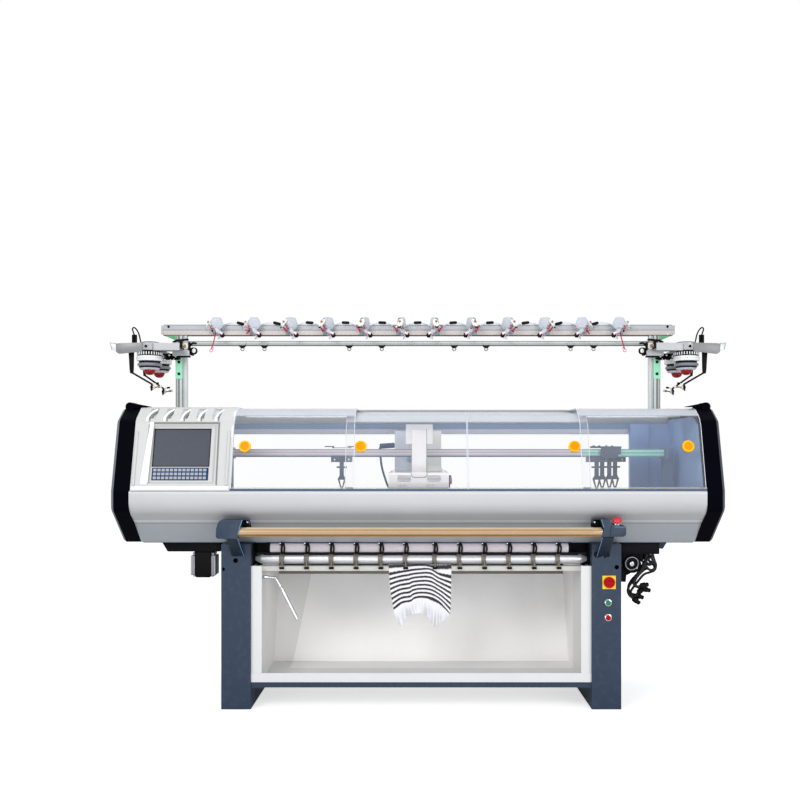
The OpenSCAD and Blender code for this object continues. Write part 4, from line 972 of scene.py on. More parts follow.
def drumPiece():    # at the axis, its top at z = 0
    parts = [turnedPiece([(50, -20), (57.5, -19.5), (57.5, -1), (54, 0)], (0, 0, 0), driveBlack, sides=64),
        turnedPiece([(50, -66), (50, -19)], (0, 0, 0), driveBlack, sides=48),
        turnedPiece([(57, -45), (60, -44.4), (61.4, -42), (61.4, -38), (60.6, -37.6), (60.6, -36.6), (61.4, -36.2),
                (61.4, -26), (60, -22), (57, -21)], (0, 0, 0), drumWhite, sides=72),
        turnedPiece([(46, -72), (50, -71), (57, -67), (58.4, -63), (56, -57), (50, -54)], (0, 0, 0), drumGrey,
            sides=64),
        turnedPiece([(40, -76), (51, -75), (51, -72)], (0, 0, 0), driveBlack, sides=56),
        turnedPiece([(30, -88), (36, -88), (43, -86), (47, -82), (48, -79), (44, -76), (38, -75)], (0, 0, 0),
            drumSilver, sides=56),
        turnedPiece([(3, -112), (10, -111), (17, -108), (22.5, -102), (26, -95), (27, -88)], (0, 0, 0), domeRed,
            sides=40),
        turnedPiece([(6, -1), (6, 15.5)], (0, 0, 0), chrome, sides=20)]
    tooth = roundBlock((4.4, 4, 14), (0, -58.6, -10), drumWhite, 0.6, segments=1)
    dot = roundBlock((3, 1.4, 1.8), (0, -61.2, -32), driveBlack, 0.3, segments=1)
    for k in range(30):
        parts.append(copyPiece(tooth, "tooth", Matrix.Rotation(math.radians(12 * k), 4, "Z")))
    for k in range(36):
        parts.append(copyPiece(dot, "dot", Matrix.Rotation(math.radians(10 * k), 4, "Z")))
    bpy.data.objects.remove(tooth)
    bpy.data.objects.remove(dot)
    return joinAll(parts, "drum")


def storageDrums(v):
    model = drumPiece()
    for node, side, y in (("drum_left_front", -1, v["y"][0]), ("drum_left_rear", -1, v["y"][1]),
            ("drum_right_front", 1, v["y"][0]), ("drum_right_rear", 1, v["y"][1])):
        piece = copyPiece(model, "storage" + node.title().replace("_", ""), shift(side * v["x"], y, v["top"]))
        settle(piece, node, node)
    bpy.data.objects.remove(model)


storageDrums(drum)

feeder = {"barZ": 1650, "barH": 34, "postX": 1383,
    "arms": ((20, 1384, 13, (1278, 1474)), (190, 1370, 9, (1268, 1464)))}


def feederHead(v):    # bars, motor housings, posts and cap of the right side
    z, h = v["barZ"], v["barH"]
    mid = z + h / 2
    front = [(1138, 1647), (1263, 1647), (1263, 1684), (1138, 1684)]
    outer = [(1316, 1643), (1428, 1631), (1442, 1640), (1444, 1679), (1430, 1682), (1316, 1685)]
    cap = [(1418, 1635), (1462, 1650), (1470, 1684), (1438, 1679)]
    parts = [sinkFace(platePiece(front, 9, feederSilver, 1.2, (0, -31, 0)), forward, 3, 0.8),
        roundBlock((125, 108, 6), (1200, 26, z + 6), feederShade, 1),
        platePiece(outer, 9, feederShade, 1.2, (0, -26, 0)),
        roundBlock((30, 112, 20), (1423, 35, mid), feederShade, 1.5),
        platePiece(softOutline(cap, 3), 30, paleCap, 1, (0, -14, 0)),
        wirePiece([(x, -30, z) for x, z in cap[1:]], 1.3, feederShade, steps=0),
        turnedPiece([(44, -18), (51, -17), (53, -14), (53, 18), (50, 20), (30, 20)], (1292, 20, mid), feederSilver,
            sides=72),
        turnedPiece([(34, 0), (46, 0.4), (46, 3.4), (40, 5), (20, 5.5)], (1292, 20, mid + 19.5), driveBlack,
            sides=56),
        turnedPiece([(34, -15), (36, -14), (36, 0)], (1295, 20, z + 1), driveBlack, sides=48),
        turnedPiece([(34, -14), (36, -13.4), (36, 24), (32, 26)], (1295, 190, z), driveBlack, sides=48),
        turnedPiece([(46, 0), (52, 1), (52, 9), (46, 10)], (1295, 190, z), feederShade, sides=64),
        turnedPiece([(3.5, 0), (6.4, 0.5), (6.4, 4), (4.4, 5)], (1298, -32, mid), driveBlack, axis=(0.1, -1, 0),
            sides=20),
        roundBlock((40, 95, 22), (1295, 144, z + 13), feederShade, 2),
        roundBlock((74, 26, 30), (1203, 108, 1631), driveBlack, 4)]
    for k, dx in enumerate((-6.5, 6.5)):
        parts.append(turnedPiece([(5, -26), (6.4, -25), (6.4, 22), (5, 24)], (v["postX"] + dx, 69, z + h + 26),
            driveBlack, sides=20))
        parts.append(turnedPiece([(3, 0), (4.6, 0.5), (4.6, 5), (3, 6)], (1188 + 30 * k, 92, 1630 + 6 * k), ceramic,
            axis=forward, sides=18))
    return parts


def feederArm(y, x, wide, hang):    # plate, strut and two eyes; x is the middle of the plate
    plate = [(x - wide, 1668), (x - wide + 2, 1562), (x - wide * 0.72, 1541), (x + wide * 0.3, 1541),
        (x + wide * 0.5, 1560), (x + wide, 1668)]
    eye, low = hang
    return [platePiece(plate, 16, driveBlack, 1.5, (0, y, 0)),
        roundBlock((x - 1320, 20, 8), ((x + 1320) / 2, y, 1664), driveBlack, 1),
        wirePiece([(x - 4, y, 1545), (eye + 4, y, low + 14)], 4.6, driveBlack, steps=0),
        wirePiece([(eye + 4, y, low + 14), (eye + 10, y, low + 2), (eye + 8, y, low - 8)], 4.6, driveBlack),
        turnedPiece([(5, -4), (9, -3), (9, 3), (5, 4)], (eye + 8, y, low - 8), driveBlack, axis=(1, -0.4, 0.2),
            sides=20),
        ringPiece(9, 3, (eye, y, low - 1), ceramic, axis=(1, -0.7, 0.2)),
        turnedPiece([(4, 0), (6, 2), (6, 5), (3, 6), (3, 20), (5, 22), (5.5, 30), (3, 32)], (eye - 2, y, low - 1),
            brassTint, axis=(-1, 0, 0.16), sides=18),
        turnedPiece([(5, 0), (7, 1), (7, 7), (4, 8)], (eye - 33, y, low + 4), ceramic, axis=(-1, 0, 0.16), sides=18),
        wirePiece([(eye + 2, y, low + 14), (eye - 12, y, low + 19)], 2.6, ceramic),
        turnedPiece([(3, 0), (4.6, 1), (4.6, 14), (3, 15)], (eye - 12, y, low + 19), driveBlack, axis=(-1, 0, 0.1),
            sides=14)]


def feederClamp():    # joint at the post with its yarn eye
    parts = [roundBlock((16, 26, 76), (1156, 60, 1670), driveBlack, 3),
        turnedPiece([(9, -9), (17, -8), (19, -4), (19, 4), (17, 8), (9, 9)], (1133, 62, 1676), ceramic,
            axis=(0.3, -1, 0.1), sides=32),
        turnedPiece([(5, 0), (8, 1), (8, 9), (5, 10)], (1135, 53, 1678), brassTint, axis=forward, sides=18),
        turnedPiece([(3, 0), (6, 1), (6, 6), (3, 7)], (1143, 47, 1664), driveBlack, axis=forward, sides=16),
        roundBlock((9, 24, 62), (1113, 62, 1666), driveBlack, 2.5),
        roundBlock((62, 20, 9), (1150, 66, 1708), driveBlack, 3, turn=(0, 5, 0)),
        roundBlock((20, 18, 10), (1186, 66, 1700), driveBlack, 3, turn=(0, 24, 0)),
        sinkFace(roundBlock((82, 22, 26), (1150, 50, 1642), feederSilver, 2), forward, 2.5, 1),
        roundBlock((60, 26, 7), (1138, 58, 1626), driveBlack, 2),
        turnedPiece([(9, -10), (17, -8), (17, 8), (9, 10)], (1092, 60, 1654), driveBlack, axis=(0.4, -1, 0),
            sides=28),
        turnedPiece([(4, 0), (10, 0.6), (11, 2), (9, 3.5), (4, 4)], (1088, 50, 1654), ceramic, axis=(0.4, -1, 0),
            sides=28),
        wirePiece([(1110, 62, 1680), (1096, 58, 1692), (1078, 56, 1690)], 5, driveBlack),
        wirePiece([(1110, 60, 1640), (1100, 58, 1634), (1090, 58, 1634)], 4, driveBlack)]
    for k in range(6):
        parts.append(turnedPiece([(3, 0), (5.5, 1), (5.5, 9), (3.5, 10)], (1178 + 10 * k, 84 + 4 * (k % 2), 1622),
            driveBlack, axis=(0.12 * (k - 2), -0.4, -1), sides=14))
    for k in range(3):
        parts.append(turnedPiece([(2, 0), (3.4, 0.4), (3.4, 2), (2, 3)], (1196 + 14 * k, 80, 1616 - 4 * k), ceramic,
            axis=forward, sides=12))
    return parts


def sideFeeders(v):
    parts = feederHead(v) + feederClamp()
    for arm in v["arms"]:
        parts += feederArm(*arm)
    right = joinAll(parts, "feederRight")
    left = copyPiece(right, "feederLeft", None, mirrored=True)
    for piece in (right, left):
        settle(piece, "machine", "feeder_mounts")


sideFeeders(feeder)
print("feeders are set")


# ---- doors, control unit and small parts ----

hood = {"marks": ((-392, 1000.5), (-306, 1306), (-218, 1362), (36, 1362)), "radius": 110, "pitch": 22, "length": 544,
    "doors": (("door_outer_left", -826, 0), ("door_inner_left", -324, 1), ("door_inner_right", 222, 1),
        ("door_outer_right", 724, 0))}


def doorLine(v, inner, out=0.6):
    marks = [Vector(m) for m in v["marks"]]
    sides = [(b - a).normalized() for a, b in zip(marks, marks[1:])]
    normals = [Vector((-s.y, s.x)) for s in sides]
    offset = -v["pitch"] * inner + out
    moved = [marks[0] + normals[0] * offset]
    for i in (1, 2):
        m = (normals[i - 1] + normals[i]).normalized()
        moved.append(marks[i] + m * (offset / m.dot(normals[i - 1])))
    moved.append(marks[3] + normals[2] * offset)
    points = [moved[0]]
    for i in (1, 2):
        a = (moved[i - 1] - moved[i]).normalized()
        b = (moved[i + 1] - moved[i]).normalized()
        reach = v["radius"] / math.tan(math.acos(a.dot(b)) / 2)
        start, end = moved[i] + a * reach, moved[i] + b * reach
        for k in range(9):
            t = k / 8
            points.append(start * (1 - t) ** 2 + moved[i] * 2 * t * (1 - t) + end * t ** 2)
    points.append(moved[3])
    return points


def doorEdges(v):
    for name, x, inner in v["doors"]:
        parts = []
        # pale lines along both edges of each door, painted highlights
        for edge in (x + 1.4, x + v["length"] - 1.4):
            parts.append(wirePiece([(edge, p.x, p.y) for p in doorLine(v, inner)], 1.5, doorEdgeHighlight, steps=0))
        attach(joinAll(parts, name.replace("door_", "doorEdges_")), name)


doorEdges(hood)

controls = {"mid": -1052, "lean": 16.35, "face": (-403, 991), "lcd": (248, 170), "louvres": (-1221, 77)}


def onFace(v, x, s, h):
    a = math.radians(v["lean"])
    y, z = v["face"]
    return (x, y + s * math.sin(a) - h * math.cos(a), z + s * math.cos(a) + h * math.sin(a))


def controlTrim(v):
    mid, lean = v["mid"], -v["lean"]
    w, h = v["lcd"]
    parts = []
    for dx, ds, size in ((0, h / 2 + 1.5, (w + 8, 3, 4)), (0, -h / 2 - 1.5, (w + 8, 3, 4)),
            (w / 2 + 1.5, 0, (4, 3, h)), (-w / 2 - 1.5, 0, (4, 3, h))):
        parts.append(roundBlock(size, onFace(v, mid + dx, 202 + ds, -11.4), screenEdge, 0.8, turn=(lean, 0, 0)))
    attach(joinAll(parts, "displayFrame"), "machine")
    # a painted highlight along the lower lip
    ribs = [roundBlock((430, 9, 15), onFace(v, -1046, 12, 3), mouldedHighlight, 3.5, turn=(lean, 0, 0), segments=4)]
    for x in (-1252, -842):
        ribs.append(roundBlock((12, 7, 250), onFace(v, x, 150, 2.6), mouldedWhite, 3, turn=(lean, 0, 0), segments=4))
    # each louvre is a painted highlight on its left wall and painted shade on its right
    for k in range(5):
        x = v["louvres"][0] + v["louvres"][1] * k
        for offset, rise, radius, mat in ((0, 0, 6.2, mouldedHighlight), (13, -1.5, 5.2, mouldedShade)):
            ribs.append(wirePiece([(x + 6 + offset, -309, 1299 + rise), (x + 6 + offset, -300, 1311 + rise),
                (x + 7 + offset, -286, 1320 + rise), (x + 11 + offset, -266, 1333 + rise),
                (x + 20 + offset, -248, 1344 + rise), (x + 32 + offset, -231, 1353 + rise)], radius, mat))
    # the recess's left bevel is a painted highlight, its right side and top painted shade
    wedge = [(-1197, 317), (-1181, 317), (-1189, 38), (-1196, 30), (-1219, 30), (-1223, 36)]
    ribs.append(platePiece(wedge, 2.4, mouldedHighlight, 0.8, onFace(v, 0, 0, 1.2), (lean, 0, 0)))
    ribs.append(platePiece([(-893, 314), (-886, 318), (-884, 24), (-890, 30)], 2.4, mouldedShade, 0.6,
        onFace(v, 0, 0, 1.2), (lean, 0, 0)))
    ribs.append(platePiece([(-1197, 317), (-886, 317), (-893, 309), (-1192, 309)], 2, mouldedShade, 0.6,
        onFace(v, 0, 0, 1), (lean, 0, 0)))
    # a painted highlight along the housing's edge by the door
    ribs.append(wirePiece([(-830, p.x, p.y) for p in doorLine(hood, 0, 1.5)[:-1]], 4, mouldedHighlight, steps=0))
    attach(joinAll(ribs, "controlTrim"), "machine")


controlTrim(controls)

push = {"x": 857, "face": -285.8, "z": (483, 416), "stop": (874.5, -390, 850.5), "stopLean": 35.17}
stopUp = (0, -math.sin(math.radians(push["stopLean"])), math.cos(math.radians(push["stopLean"])))


def operatorParts(v):
    parts = []
    for z in v["z"]:
        ring = turnedPiece([(11.8, 0), (13, 0.1), (16.2, 1), (16.6, 3), (15.4, 5.2), (12.4, 6), (11.8, 4.4)],
            (v["x"], v["face"], z), chrome, axis=forward, sides=44)
        pickFaces(ring, lambda f: abs(f.normal.y) > 0.99 and f.area > 3.0e-4)
        bpy.ops.mesh.delete(type="FACE")
        editDone()
        parts.append(ring)
    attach(joinAll(parts, "buttonBezels"), "machine")
    skirt = turnedPiece([(15, 5.2), (17, 5.6), (18.4, 6.6), (18, 7.2)], v["stop"], paleCap, axis=stopUp, sides=40)
    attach(joinAll([skirt], "stopSkirt"), "emergency_button")


operatorParts(push)

bolts = {"leg": ((-822, 719), (-798, 719), (816, 719), (840, 719)), "plateX": 1174, "plates": (1546, 1604),
    "beamX": 1226, "beam": (1743, 1778)}


def boltHead(place, size, mat, axis=forward):
    return turnedPiece([(size, 0), (size, size * 0.5), (size * 0.85, size * 0.62), (size * 0.5, size * 0.66),
            (size * 0.48, size * 0.3)], place, mat, axis=axis, sides=18)


def fasteners(v):
    parts = [boltHead((x, -280, z), 6, driveBlack) for x, z in v["leg"]]
    for side in (-1, 1):
        for z in v["plates"]:
            parts.append(boltHead((side * v["plateX"], 101, z), 7, driveBlack))
        parts.append(boltHead((side * v["beamX"], 105, v["beam"][1]), 6, driveBlack))
        parts.append(boltHead((side * v["beamX"], 105, v["beam"][0]), 3, chrome))
    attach(joinAll(parts, "fasteners"), "machine")


fasteners(bolts)

beamEnd = {"x": 1250, "y": 120, "z": 1734, "h": 54, "reach": 13, "thick": 2.5}


def beamEnds(v):
    h, r = v["h"], v["reach"]
    near = platePiece([(0, 0), (r, 9), (r, h - 2), (4, h - 4), (0, h - 10)], v["thick"], beamMetal, 0.6,
        (v["x"] + 0.3, v["y"] - 13, v["z"]))
    far = platePiece([(0, 0), (r, 9), (r, h - 2), (0, h)], v["thick"], beamMetal, 0.6,
        (v["x"] + 0.3, v["y"] + 13, v["z"]))
    link = roundBlock((v["thick"], 28, h - 12), (v["x"] + r - 1, v["y"], v["z"] + h / 2 + 2), beamMetal, 0.8)
    right = joinAll([near, far, link], "beamEndRight")
    left = copyPiece(right, "beamEndLeft", None, mirrored=True)
    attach(right, "machine")
    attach(left, "machine")


beamEnds(beamEnd)

postSlot = {"x": 1164, "front": 105, "low": 1362, "high": 1734, "strips": ((24, 4), (10, 6), (-6, 4)),
    "holderZ": 1685, "holders": (-863, -755, -338, -178, 178, 335, 750, 863)}


def standTrim(v):
    parts = []
    middle, tall = (v["low"] + v["high"]) / 2, v["high"] - v["low"]
    for side in (-1, 1):
        for offset, wide in v["strips"]:
            parts.append(roundBlock((wide, 1.2, tall), (side * (v["x"] + offset), v["front"] - 0.6, middle),
                mouldedShade, 0.3, segments=1))
    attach(joinAll(parts, "postSlots"), "machine")
    hooks = []
    for x in v["holders"]:
        outline = [(-20, 0), (20, 0), (12, -9), (5, -14), (-5, -14), (-12, -9)]
        hooks.append(platePiece(outline, 3, softBlack, 0.6, (x, 104.4, v["holderZ"])))
        hooks.append(turnedPiece([(2.2, 0), (2.2, 7)], (x, 104.4, v["holderZ"] - 20), ceramic, sides=14))
    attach(joinAll(hooks, "holderPlates"), "machine")


standTrim(postSlot)


# ---- carriage and carriers ----

camBox = {"front": -310, "top": 1069, "strap": (-29, 39), "apron": 1049, "louvres": ((-92, -30), (40, 103)),
    "louvreZ": (1056, 1031), "dots": (-70, 56), "dotZ": 1012}


def carriageTrim(v):
    x0, x1 = v["strap"]
    mid, wide = (x0 + x1) / 2, x1 - x0
    top, front = v["top"], v["front"]
    apron = [(x0, top + 2.4), (x1, top + 2.4), (x1, v["apron"] + 12), (x1 - 4, v["apron"] + 4), (x1 - 12, v["apron"]),
        (x0 + 12, v["apron"]), (x0 + 4, v["apron"] + 4), (x0, v["apron"] + 12)]
    parts = [platePiece(apron, 3, carriageWhite, 0.8, (0, front - 1.8, 0)),
        roundBlock((wide, 112, 2.4), (mid, front + 54, top + 1.3), carriageWhite, 0.8),
        roundBlock((wide, 2.4, 196), (mid, -201.4, top + 99), carriageWhite, 0.8),
        platePiece([(x0 - 1.8, top), (x1 + 2.6, top), (x1 + 2.6, v["apron"] + 10), (x1 - 2, v["apron"] + 1),
                (x1 - 11, v["apron"] - 2.6), (x0 + 11, v["apron"] - 2.6), (x0 + 2, v["apron"] + 1),
                (x0 - 1.8, v["apron"] + 11)], 1.4, mouldedShade, 0.3, (0, front - 0.8, 0)),
        roundBlock((1.6, 1.8, 196), (x0 - 0.6, -202.6, top + 100), mouldedShade, 0.3, segments=1),
        roundBlock((2.6, 1.8, 196), (x1 + 1, -202.6, top + 100), mouldedShade, 0.3, segments=1),
        roundBlock((98, 18, 172), (1, 186, 1156), bridgeWhite, 1.5),
        roundBlock((40, 6, 22), (-33, 168, 1128), steelBlue, 1.5)]
    for low, high in v["louvres"]:
        for k in range(5):
            z = v["louvreZ"][0] + (v["louvreZ"][1] - v["louvreZ"][0]) * k / 4
            inset = 5 if k in (0, 4) else 0
            parts.append(roundBlock((high - low - 2 * inset, 1.2, 1.8), ((low + high) / 2, front - 0.5, z),
                mouldedShade, 0.4, segments=1))
    for x in v["dots"]:
        for k, (dx, dz) in enumerate(((-18, 0), (-9, 4), (-9, -4), (0, 0), (9, 4), (9, -4), (18, 0))):
            parts.append(turnedPiece([(1.9, 0), (1.9, 0.8)], (x + dx, front - 0.1, v["dotZ"] + dz), mouldedShade,
                axis=forward, sides=12))
    parts.append(roundBlock((7, 26, 56), (142, -250, 1026), cordBlue, 1.5))
    parts.append(roundBlock((11, 20, 9), (146, -250, 1052), cordBlue, 2))
    parts.append(turnedPiece([(10, 0), (16, 1), (17, 4), (16, 8), (9, 10)], (144.5, -256, 1032), rosePlastic,
        axis=rightward, sides=32))
    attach(joinAll(parts, "carriageTrim"), "carriage")
    rims = [roundBlock((2.4, 2, 66), (x, -201.2, 1233), mouldedShade, 0.5) for x in (-31.5, 43)]
    rims += [roundBlock((120, 2, 2.4), (6, -202.4, 1286), mouldedShade, 0.5)]
    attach(joinAll(rims, "bridgeLines"), "carriage")


carriageTrim(camBox)

carrierTop = {"z": 1179, "front": -58}


def carrierTrim(v):    # handles over the rail and a face plate on the carriers
    for name, x, y in (("carrier_1", -363, -45), ("carrier_2", 850, -45), ("carrier_3", 882, -15),
            ("carrier_4", 922, 15), ("carrier_5", 956, 45)):
        parts = []
        if name == "carrier_1":
            for dx, wide in ((-58, 46), (44, 34)):
                parts.append(roundBlock((wide, 10, 5), (x + dx, y, v["z"] + 9), carrierBlue, 1.6))
                parts.append(roundBlock((7, 9, 8), (x + math.copysign(40, dx), y, v["z"] + 4.5), carrierBlue, 1.6))
            parts.append(roundBlock((94, 8, 3), (x, y, v["z"] + 3), carrierBlue, 1))
        else:
            parts.append(roundBlock((60, 20, 9), (x, y, v["z"] + 6), carrierBlue, 2))
            parts.append(roundBlock((9, 12, 6), (x - 14, y, v["z"] + 12), carrierBlue, 1.6))
            if y == -45:
                guard = [(14, -48), (96, -48), (98, -30), (112, -28), (112, 2), (98, 6), (60, 4), (40, 8), (18, 6)]
                parts.append(platePiece([(x + dx, v["z"] + dz) for dx, dz in guard], 4, carrierBlue, 1,
                    (0, v["front"] - 3, 0)))
                parts.append(roundBlock((10, 40, 5), (x + 20, -44, v["z"] + 5), carrierBlue, 1))
        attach(joinAll(parts, name.replace("carrier_", "carrierTrim_")), name)


carrierTrim(carrierTop)
print("carriage and carriers are trimmed")


# ---- take-down rollers and clips ----

roller = {"y": -200, "z": 671, "radius": 22, "from": -746.5, "to": 775.5}


def mainRoller(v):
    r, long = v["radius"], v["to"] - v["from"]
    profile = [(7, 0), (11, 2), (12, 6), (r - 1, 27), (r, 30), (r, long - 30), (r - 1, long - 27), (12, long - 6),
        (11, long - 2), (7, long)]
    body = joinAll([turnedPiece(profile, (v["from"], v["y"], v["z"]), brushed, axis=rightward, sides=64)],
        "mainRoller")
    settle(body, "roller_main", "roller_main")


mainRoller(roller)

clip = {"y": -200, "z": 671, "inner": 24.4, "outer": 29.5, "width": 21,
    "places": [-621 + 113 * k for k in range(6)] + [78 + 113 * k for k in range(6)]}


def clipModel(v):    # at x = 0
    turnFrom, turnTo = math.radians(112), math.radians(246)
    arc = [turnFrom + (turnTo - turnFrom) * k / 16 for k in range(17)]
    outline = [(v["outer"] * math.cos(a), v["outer"] * math.sin(a)) for a in arc]
    outline += [(v["inner"] * math.cos(a), v["inner"] * math.sin(a)) for a in reversed(arc)]
    parts = [platePiece(outline, v["width"], clipGrey, 0.8, (0, v["y"], v["z"]), (0, 0, 82)),
        wirePiece([(-2, -212, 697), (-2, -222, 700), (-3, -228, 714), (-1, -227, 734), (2, -222, 744),
                (6, -218, 742)], 4.6, softBlack),
        wirePiece([(8, -213, 697), (9, -224, 704), (11, -228, 722), (8, -224, 738)], 3.8, softBlack),
        roundBlock((23, 8, 10), (-1, -222, 740), softBlack, 2.4),
        turnedPiece([(2.4, 0), (3, 0.6), (3, 3), (2, 3.6)], (-9, -224, 744), chrome, axis=forward, sides=12),
        wirePiece([(0, -231, 664), (0, -235, 652), (0, -238, 640), (0, -238.5, 634)], 3.4, clipGrey),
        roundBlock((23, 9, 11), (0, -239, 633), softBlack, 3, segments=3)]
    return joinAll(parts, "takedownClip")


def takedownClips(v):
    model = clipModel(v)
    for k, x in enumerate(v["places"]):
        piece = copyPiece(model, f"takedownClip_{k + 1}", shift(x))
        settle(piece, "machine", "takedown_clips")
    bpy.data.objects.remove(model)


takedownClips(clip)


gap = {"size": (1440, 1.5, 12.6), "place": (14, -215, 696), "edge": 0.4}


def gapShadeStrip(v):    # a black strip painted in as the shade in the gap between the rollers
    strip = roundBlock(v["size"], v["place"], softBlack, v["edge"], segments=1)
    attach(joinAll([strip], "rollerGapShade"), "machine")


gapShadeStrip(gap)
print("rollers and clips are set")


# ---- start bar brackets ----

bracket = {"front": -412, "back": -350,
    "left": ((-861, 865), (-874, 857), (-884, 828), (-886, 791), (-880, 783), (-842, 781), (-792, 781), (-789, 800),
        (-779, 838), (-770, 865)),
    "right": ((803, 867), (834, 867), (857, 840.5), (900, 840), (911, 832), (912, 800), (902, 791), (808, 789),
        (814, 832)),
    "rightRear": ((803, 867), (834, 867), (850, 848), (853, 831.5), (896, 831.5), (899, 842), (911, 833), (912, 800),
        (902, 791), (808, 789), (814, 832)),
    "leftWall": ((-800, 864), (-748, 864), (-741, 842), (-741, 800), (-800, 800)),
    "rightWall": ((820, 866), (772, 866), (768, 850), (768, 800), (820, 800)), "arms": ((-818, -812), (835, 834))}


def hoodShape(outline, corner, front, back, edge=2.5):
    obj = platePiece(softOutline(outline, corner), back - front, bracketBlue, 0, (0, (back + front) / 2, 0))
    activate(obj)
    editAll()
    bevelAll(edge, 3)
    editDone()
    return obj


def slantedPlate(corners, thick, mat):    # four corners of the front face, thickness backwards
    a, b, c = (mm(corner) for corner in corners[:3])
    inward = (b - a).cross(c - b).normalized()
    obj = sheetFrom(corners, (inward if inward.y > 0 else -inward) * (thick * unit))
    bevelAll(1.2, 2)
    editDone()
    return paint(obj, mat)


def barBrackets(v):
    for side, key, wall in ((-1, "left", "leftWall"), (1, "right", "rightWall")):
        outline = v[key]
        parts = [platePiece(v[wall], 4, driveBlack, 0.6, (0, v["back"] + 2, 0))]
        if side < 0:
            parts.append(hoodShape(outline, 5, v["front"], v["back"]))
        else:
            parts += [hoodShape(outline, 5, v["front"], v["front"] + 6),
                hoodShape(v["rightRear"], 3, v["front"] + 5.6, v["back"], edge=0.8)]
        corner = v[wall][1]
        low = v[wall][2]
        for a, b in ((v[wall][0], corner), (corner, low)):
            long = math.hypot(b[0] - a[0], b[1] - a[1])
            tilt = -math.degrees(math.atan2(b[1] - a[1], b[0] - a[0]))
            parts.append(roundBlock((long + 2, 40, 2.2), ((a[0] + b[0]) / 2, v["back"] - 19, (a[1] + b[1]) / 2),
                bracketBlue, 0.6, (0, tilt, 0)))
        edge = outline[-3:] if side < 0 else (outline[-1], outline[0])
        # a painted highlight along the hood's edge
        parts.append(wirePiece([(x - side * 0.4, v["front"] - 0.2, z) for x, z in edge], 1.5, bracketHighlight, steps=0))
        parts.append(boltHead((-757 if side < 0 else 784, v["back"] - 2, 851), 5, chrome))
        parts.append(turnedPiece([(5, 0), (8, 1), (8, 8), (5, 9)], (side * 762, -390, 810), chrome, axis=(side, 0, 0),
            sides=24))
        if side > 0:
            # a painted highlight across the cylinder
            parts.append(wirePiece([(860, v["front"] - 0.2, 834), (906, v["front"] - 0.2, 833)], 1.2, bracketHighlight,
                steps=0))
            parts.append(wirePiece([(848, v["front"] - 0.2, 846), (840, v["front"] - 0.2, 794)], 0.9, driveBlack,
                steps=0))
        cover = joinAll(parts, f"bracketHood_{key}")
        settle(cover, "machine", "bar_brackets")
    for k, (top, low) in enumerate(v["arms"]):
        corners = [(top - 25, -404, 786), (top + 25, -404, 786), (low + 27, -285, 692), (low - 27, -285, 692)]
        # the arm's blue is darkened as painted shade
        arm = slantedPlate(corners, 8, armShadedBlue)
        lines = [arm,
            # a painted highlight along the arm's edge
            wirePiece([corners[1], corners[2]] if k == 0 else [corners[0], corners[3]], 1.3, bracketHighlight, steps=0),
            boltHead((low + (8 if k == 0 else -8), -287, 710), 5, driveBlack)]
        piece = joinAll(lines, f"bracketArm_{k + 1}")
        settle(piece, "machine", "bar_brackets")
    rings = []
    for down in (3.2, 6.2):
        place = [p - down * u for p, u in zip(push["stop"], stopUp)]
        rings.append(ringPiece(12.6, 2.6, place, chrome, axis=stopUp))
    rings.append(ringPiece(14.2, 5.4, [p - 9.4 * u for p, u in zip(push["stop"], stopUp)], bracketBlue, axis=stopUp))
    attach(joinAll(rings, "stopBase"), "machine")
    ends = []
    for side, x in ((-1, -752.5), (1, 767.5)):
        ends.append(turnedPiece([(14, 40), (19.5, 38), (20.6, 34), (20.6, 0.4)], (x, -390, 810), goldBar,
            axis=(side, 0, 0), sides=48))
        ends.append(turnedPiece([(15, 36), (17, 41), (10, 44)], (x, -390, 810), chrome, axis=(side, 0, 0), sides=9))
    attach(joinAll(ends, "startBarEnds"), "start_bar")


barBrackets(bracket)


# ---- drives under the body ----

drive = {"leftMotor": (-1004, -90), "rightMotor": (996, 644)}


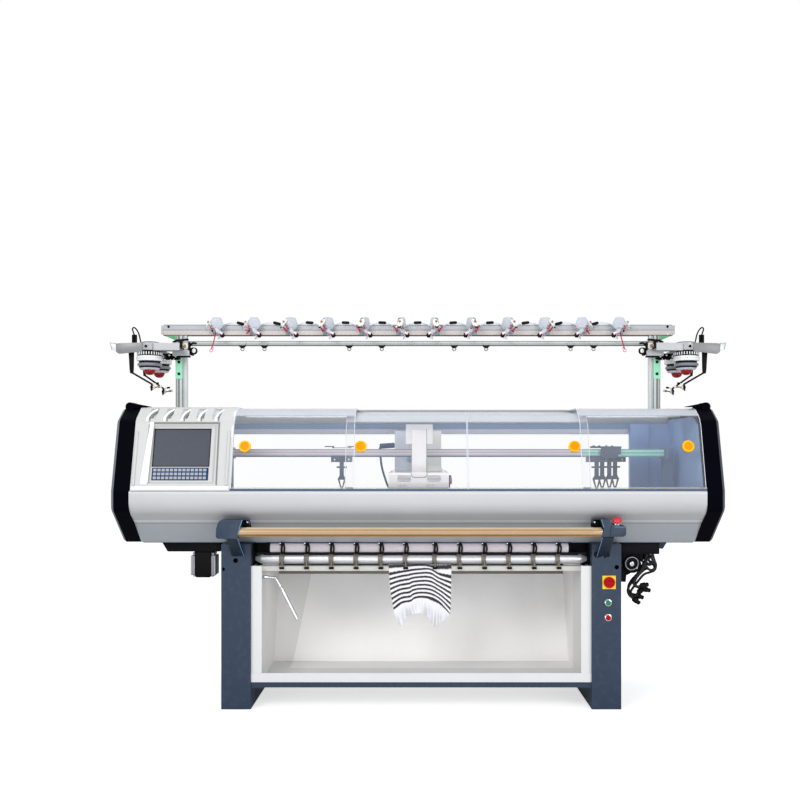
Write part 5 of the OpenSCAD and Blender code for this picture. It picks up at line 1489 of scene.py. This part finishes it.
def leftDrive(v):
    x, y = v["leftMotor"]
    parts = [platePiece([(-1192, 745), (-1165, 699), (-918, 699), (-918, 745)], 140, driveBlack, 3, (0, -80, 0)),
        roundBlock((78, 92, 118), (x, y, 641), driveBlack, 4),
        roundBlock((66, 84, 12), (x, y, 582), driveBlack, 3)]
    for side in (-1, 1):
        parts.append(roundBlock((20, 84, 92), (x + side * 48, y, 632), flangeGrey, 2.5))
        for k in range(2):
            parts.append(roundBlock((2, 86, 92), (x + side * (43 + 7 * k), y, 632), driveBlack, 0.6))
        parts.append(roundBlock((16, 70, 12), (x + side * 42, y, 686), flangeGrey, 2))
        parts.append(roundBlock((14, 70, 12), (x + side * 40, y, 584), flangeGrey, 2))
    return joinAll(parts, "leftDrive")


def rightDrive(v):
    x, z = v["rightMotor"]
    parts = [roundBlock((177, 140, 56), (1032, -90, 716), driveBlack, 3),
        platePiece([(1121, 745), (1121, 712), (1146, 708), (1169, 745)], 80, coverDark, 2, (0, -80, 0)),
        roundBlock((60, 120, 8), (1080, -90, 702), coverDark, 2),
        roundBlock((84, 60, 60), (1000, -96, 668), driveBlack, 3),
        turnedPiece([(38, 0), (42, 3), (42, 26), (40, 28), (34, 30), (34, 42), (40, 44), (40, 56), (36, 60), (24, 61),
                (24, 58), (12, 58), (12, 66), (8, 68)], (x, -92, z), driveBlack, axis=(0.06, -1, -0.1), sides=44),
        ringPiece(30, 2.2, (x - 2, -152, z), flangeGrey, axis=(0.06, -1, -0.1)),
        turnedPiece([(9, 0), (10, 1), (10, 5), (6, 6)], (x - 4, -158, z - 1), chrome, axis=(0.06, -1, -0.1),
            sides=24),
        roundBlock((50, 50, 40), (1072, -60, 672), driveBlack, 6),
        roundBlock((26, 40, 78), (968, -84, 590), driveBlack, 5, turn=(0, 6, 0)),
        roundBlock((44, 44, 34), (990, -84, 606), driveBlack, 8, turn=(0, -30, 0))]
    for k in range(4):
        parts.append(boltHead((x + 31 * math.cos(0.8 + k * 1.57), -150, z + 31 * math.sin(0.8 + k * 1.57)), 3.4,
            chrome))
    return joinAll(parts, "rightDrive")


bush = {"round": (808, -279.4, 699), "slot": (844, -280, 692), "slotSize": (8, 3, 18)}


def legBushes(v):    # dark bushes in the front of the right leg
    parts = [turnedPiece([(8, 0), (14, 0.3), (14, 1.6), (8, 2)], v["round"], driveBlack, axis=forward, sides=32),
        roundBlock(v["slotSize"], v["slot"], driveBlack, 1.2)]
    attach(joinAll(parts, "legBushes"), "machine")


legBushes(bush)

for piece in (leftDrive(drive), rightDrive(drive)):
    settle(piece, "machine", "under_drives")
print("brackets and drives are set")
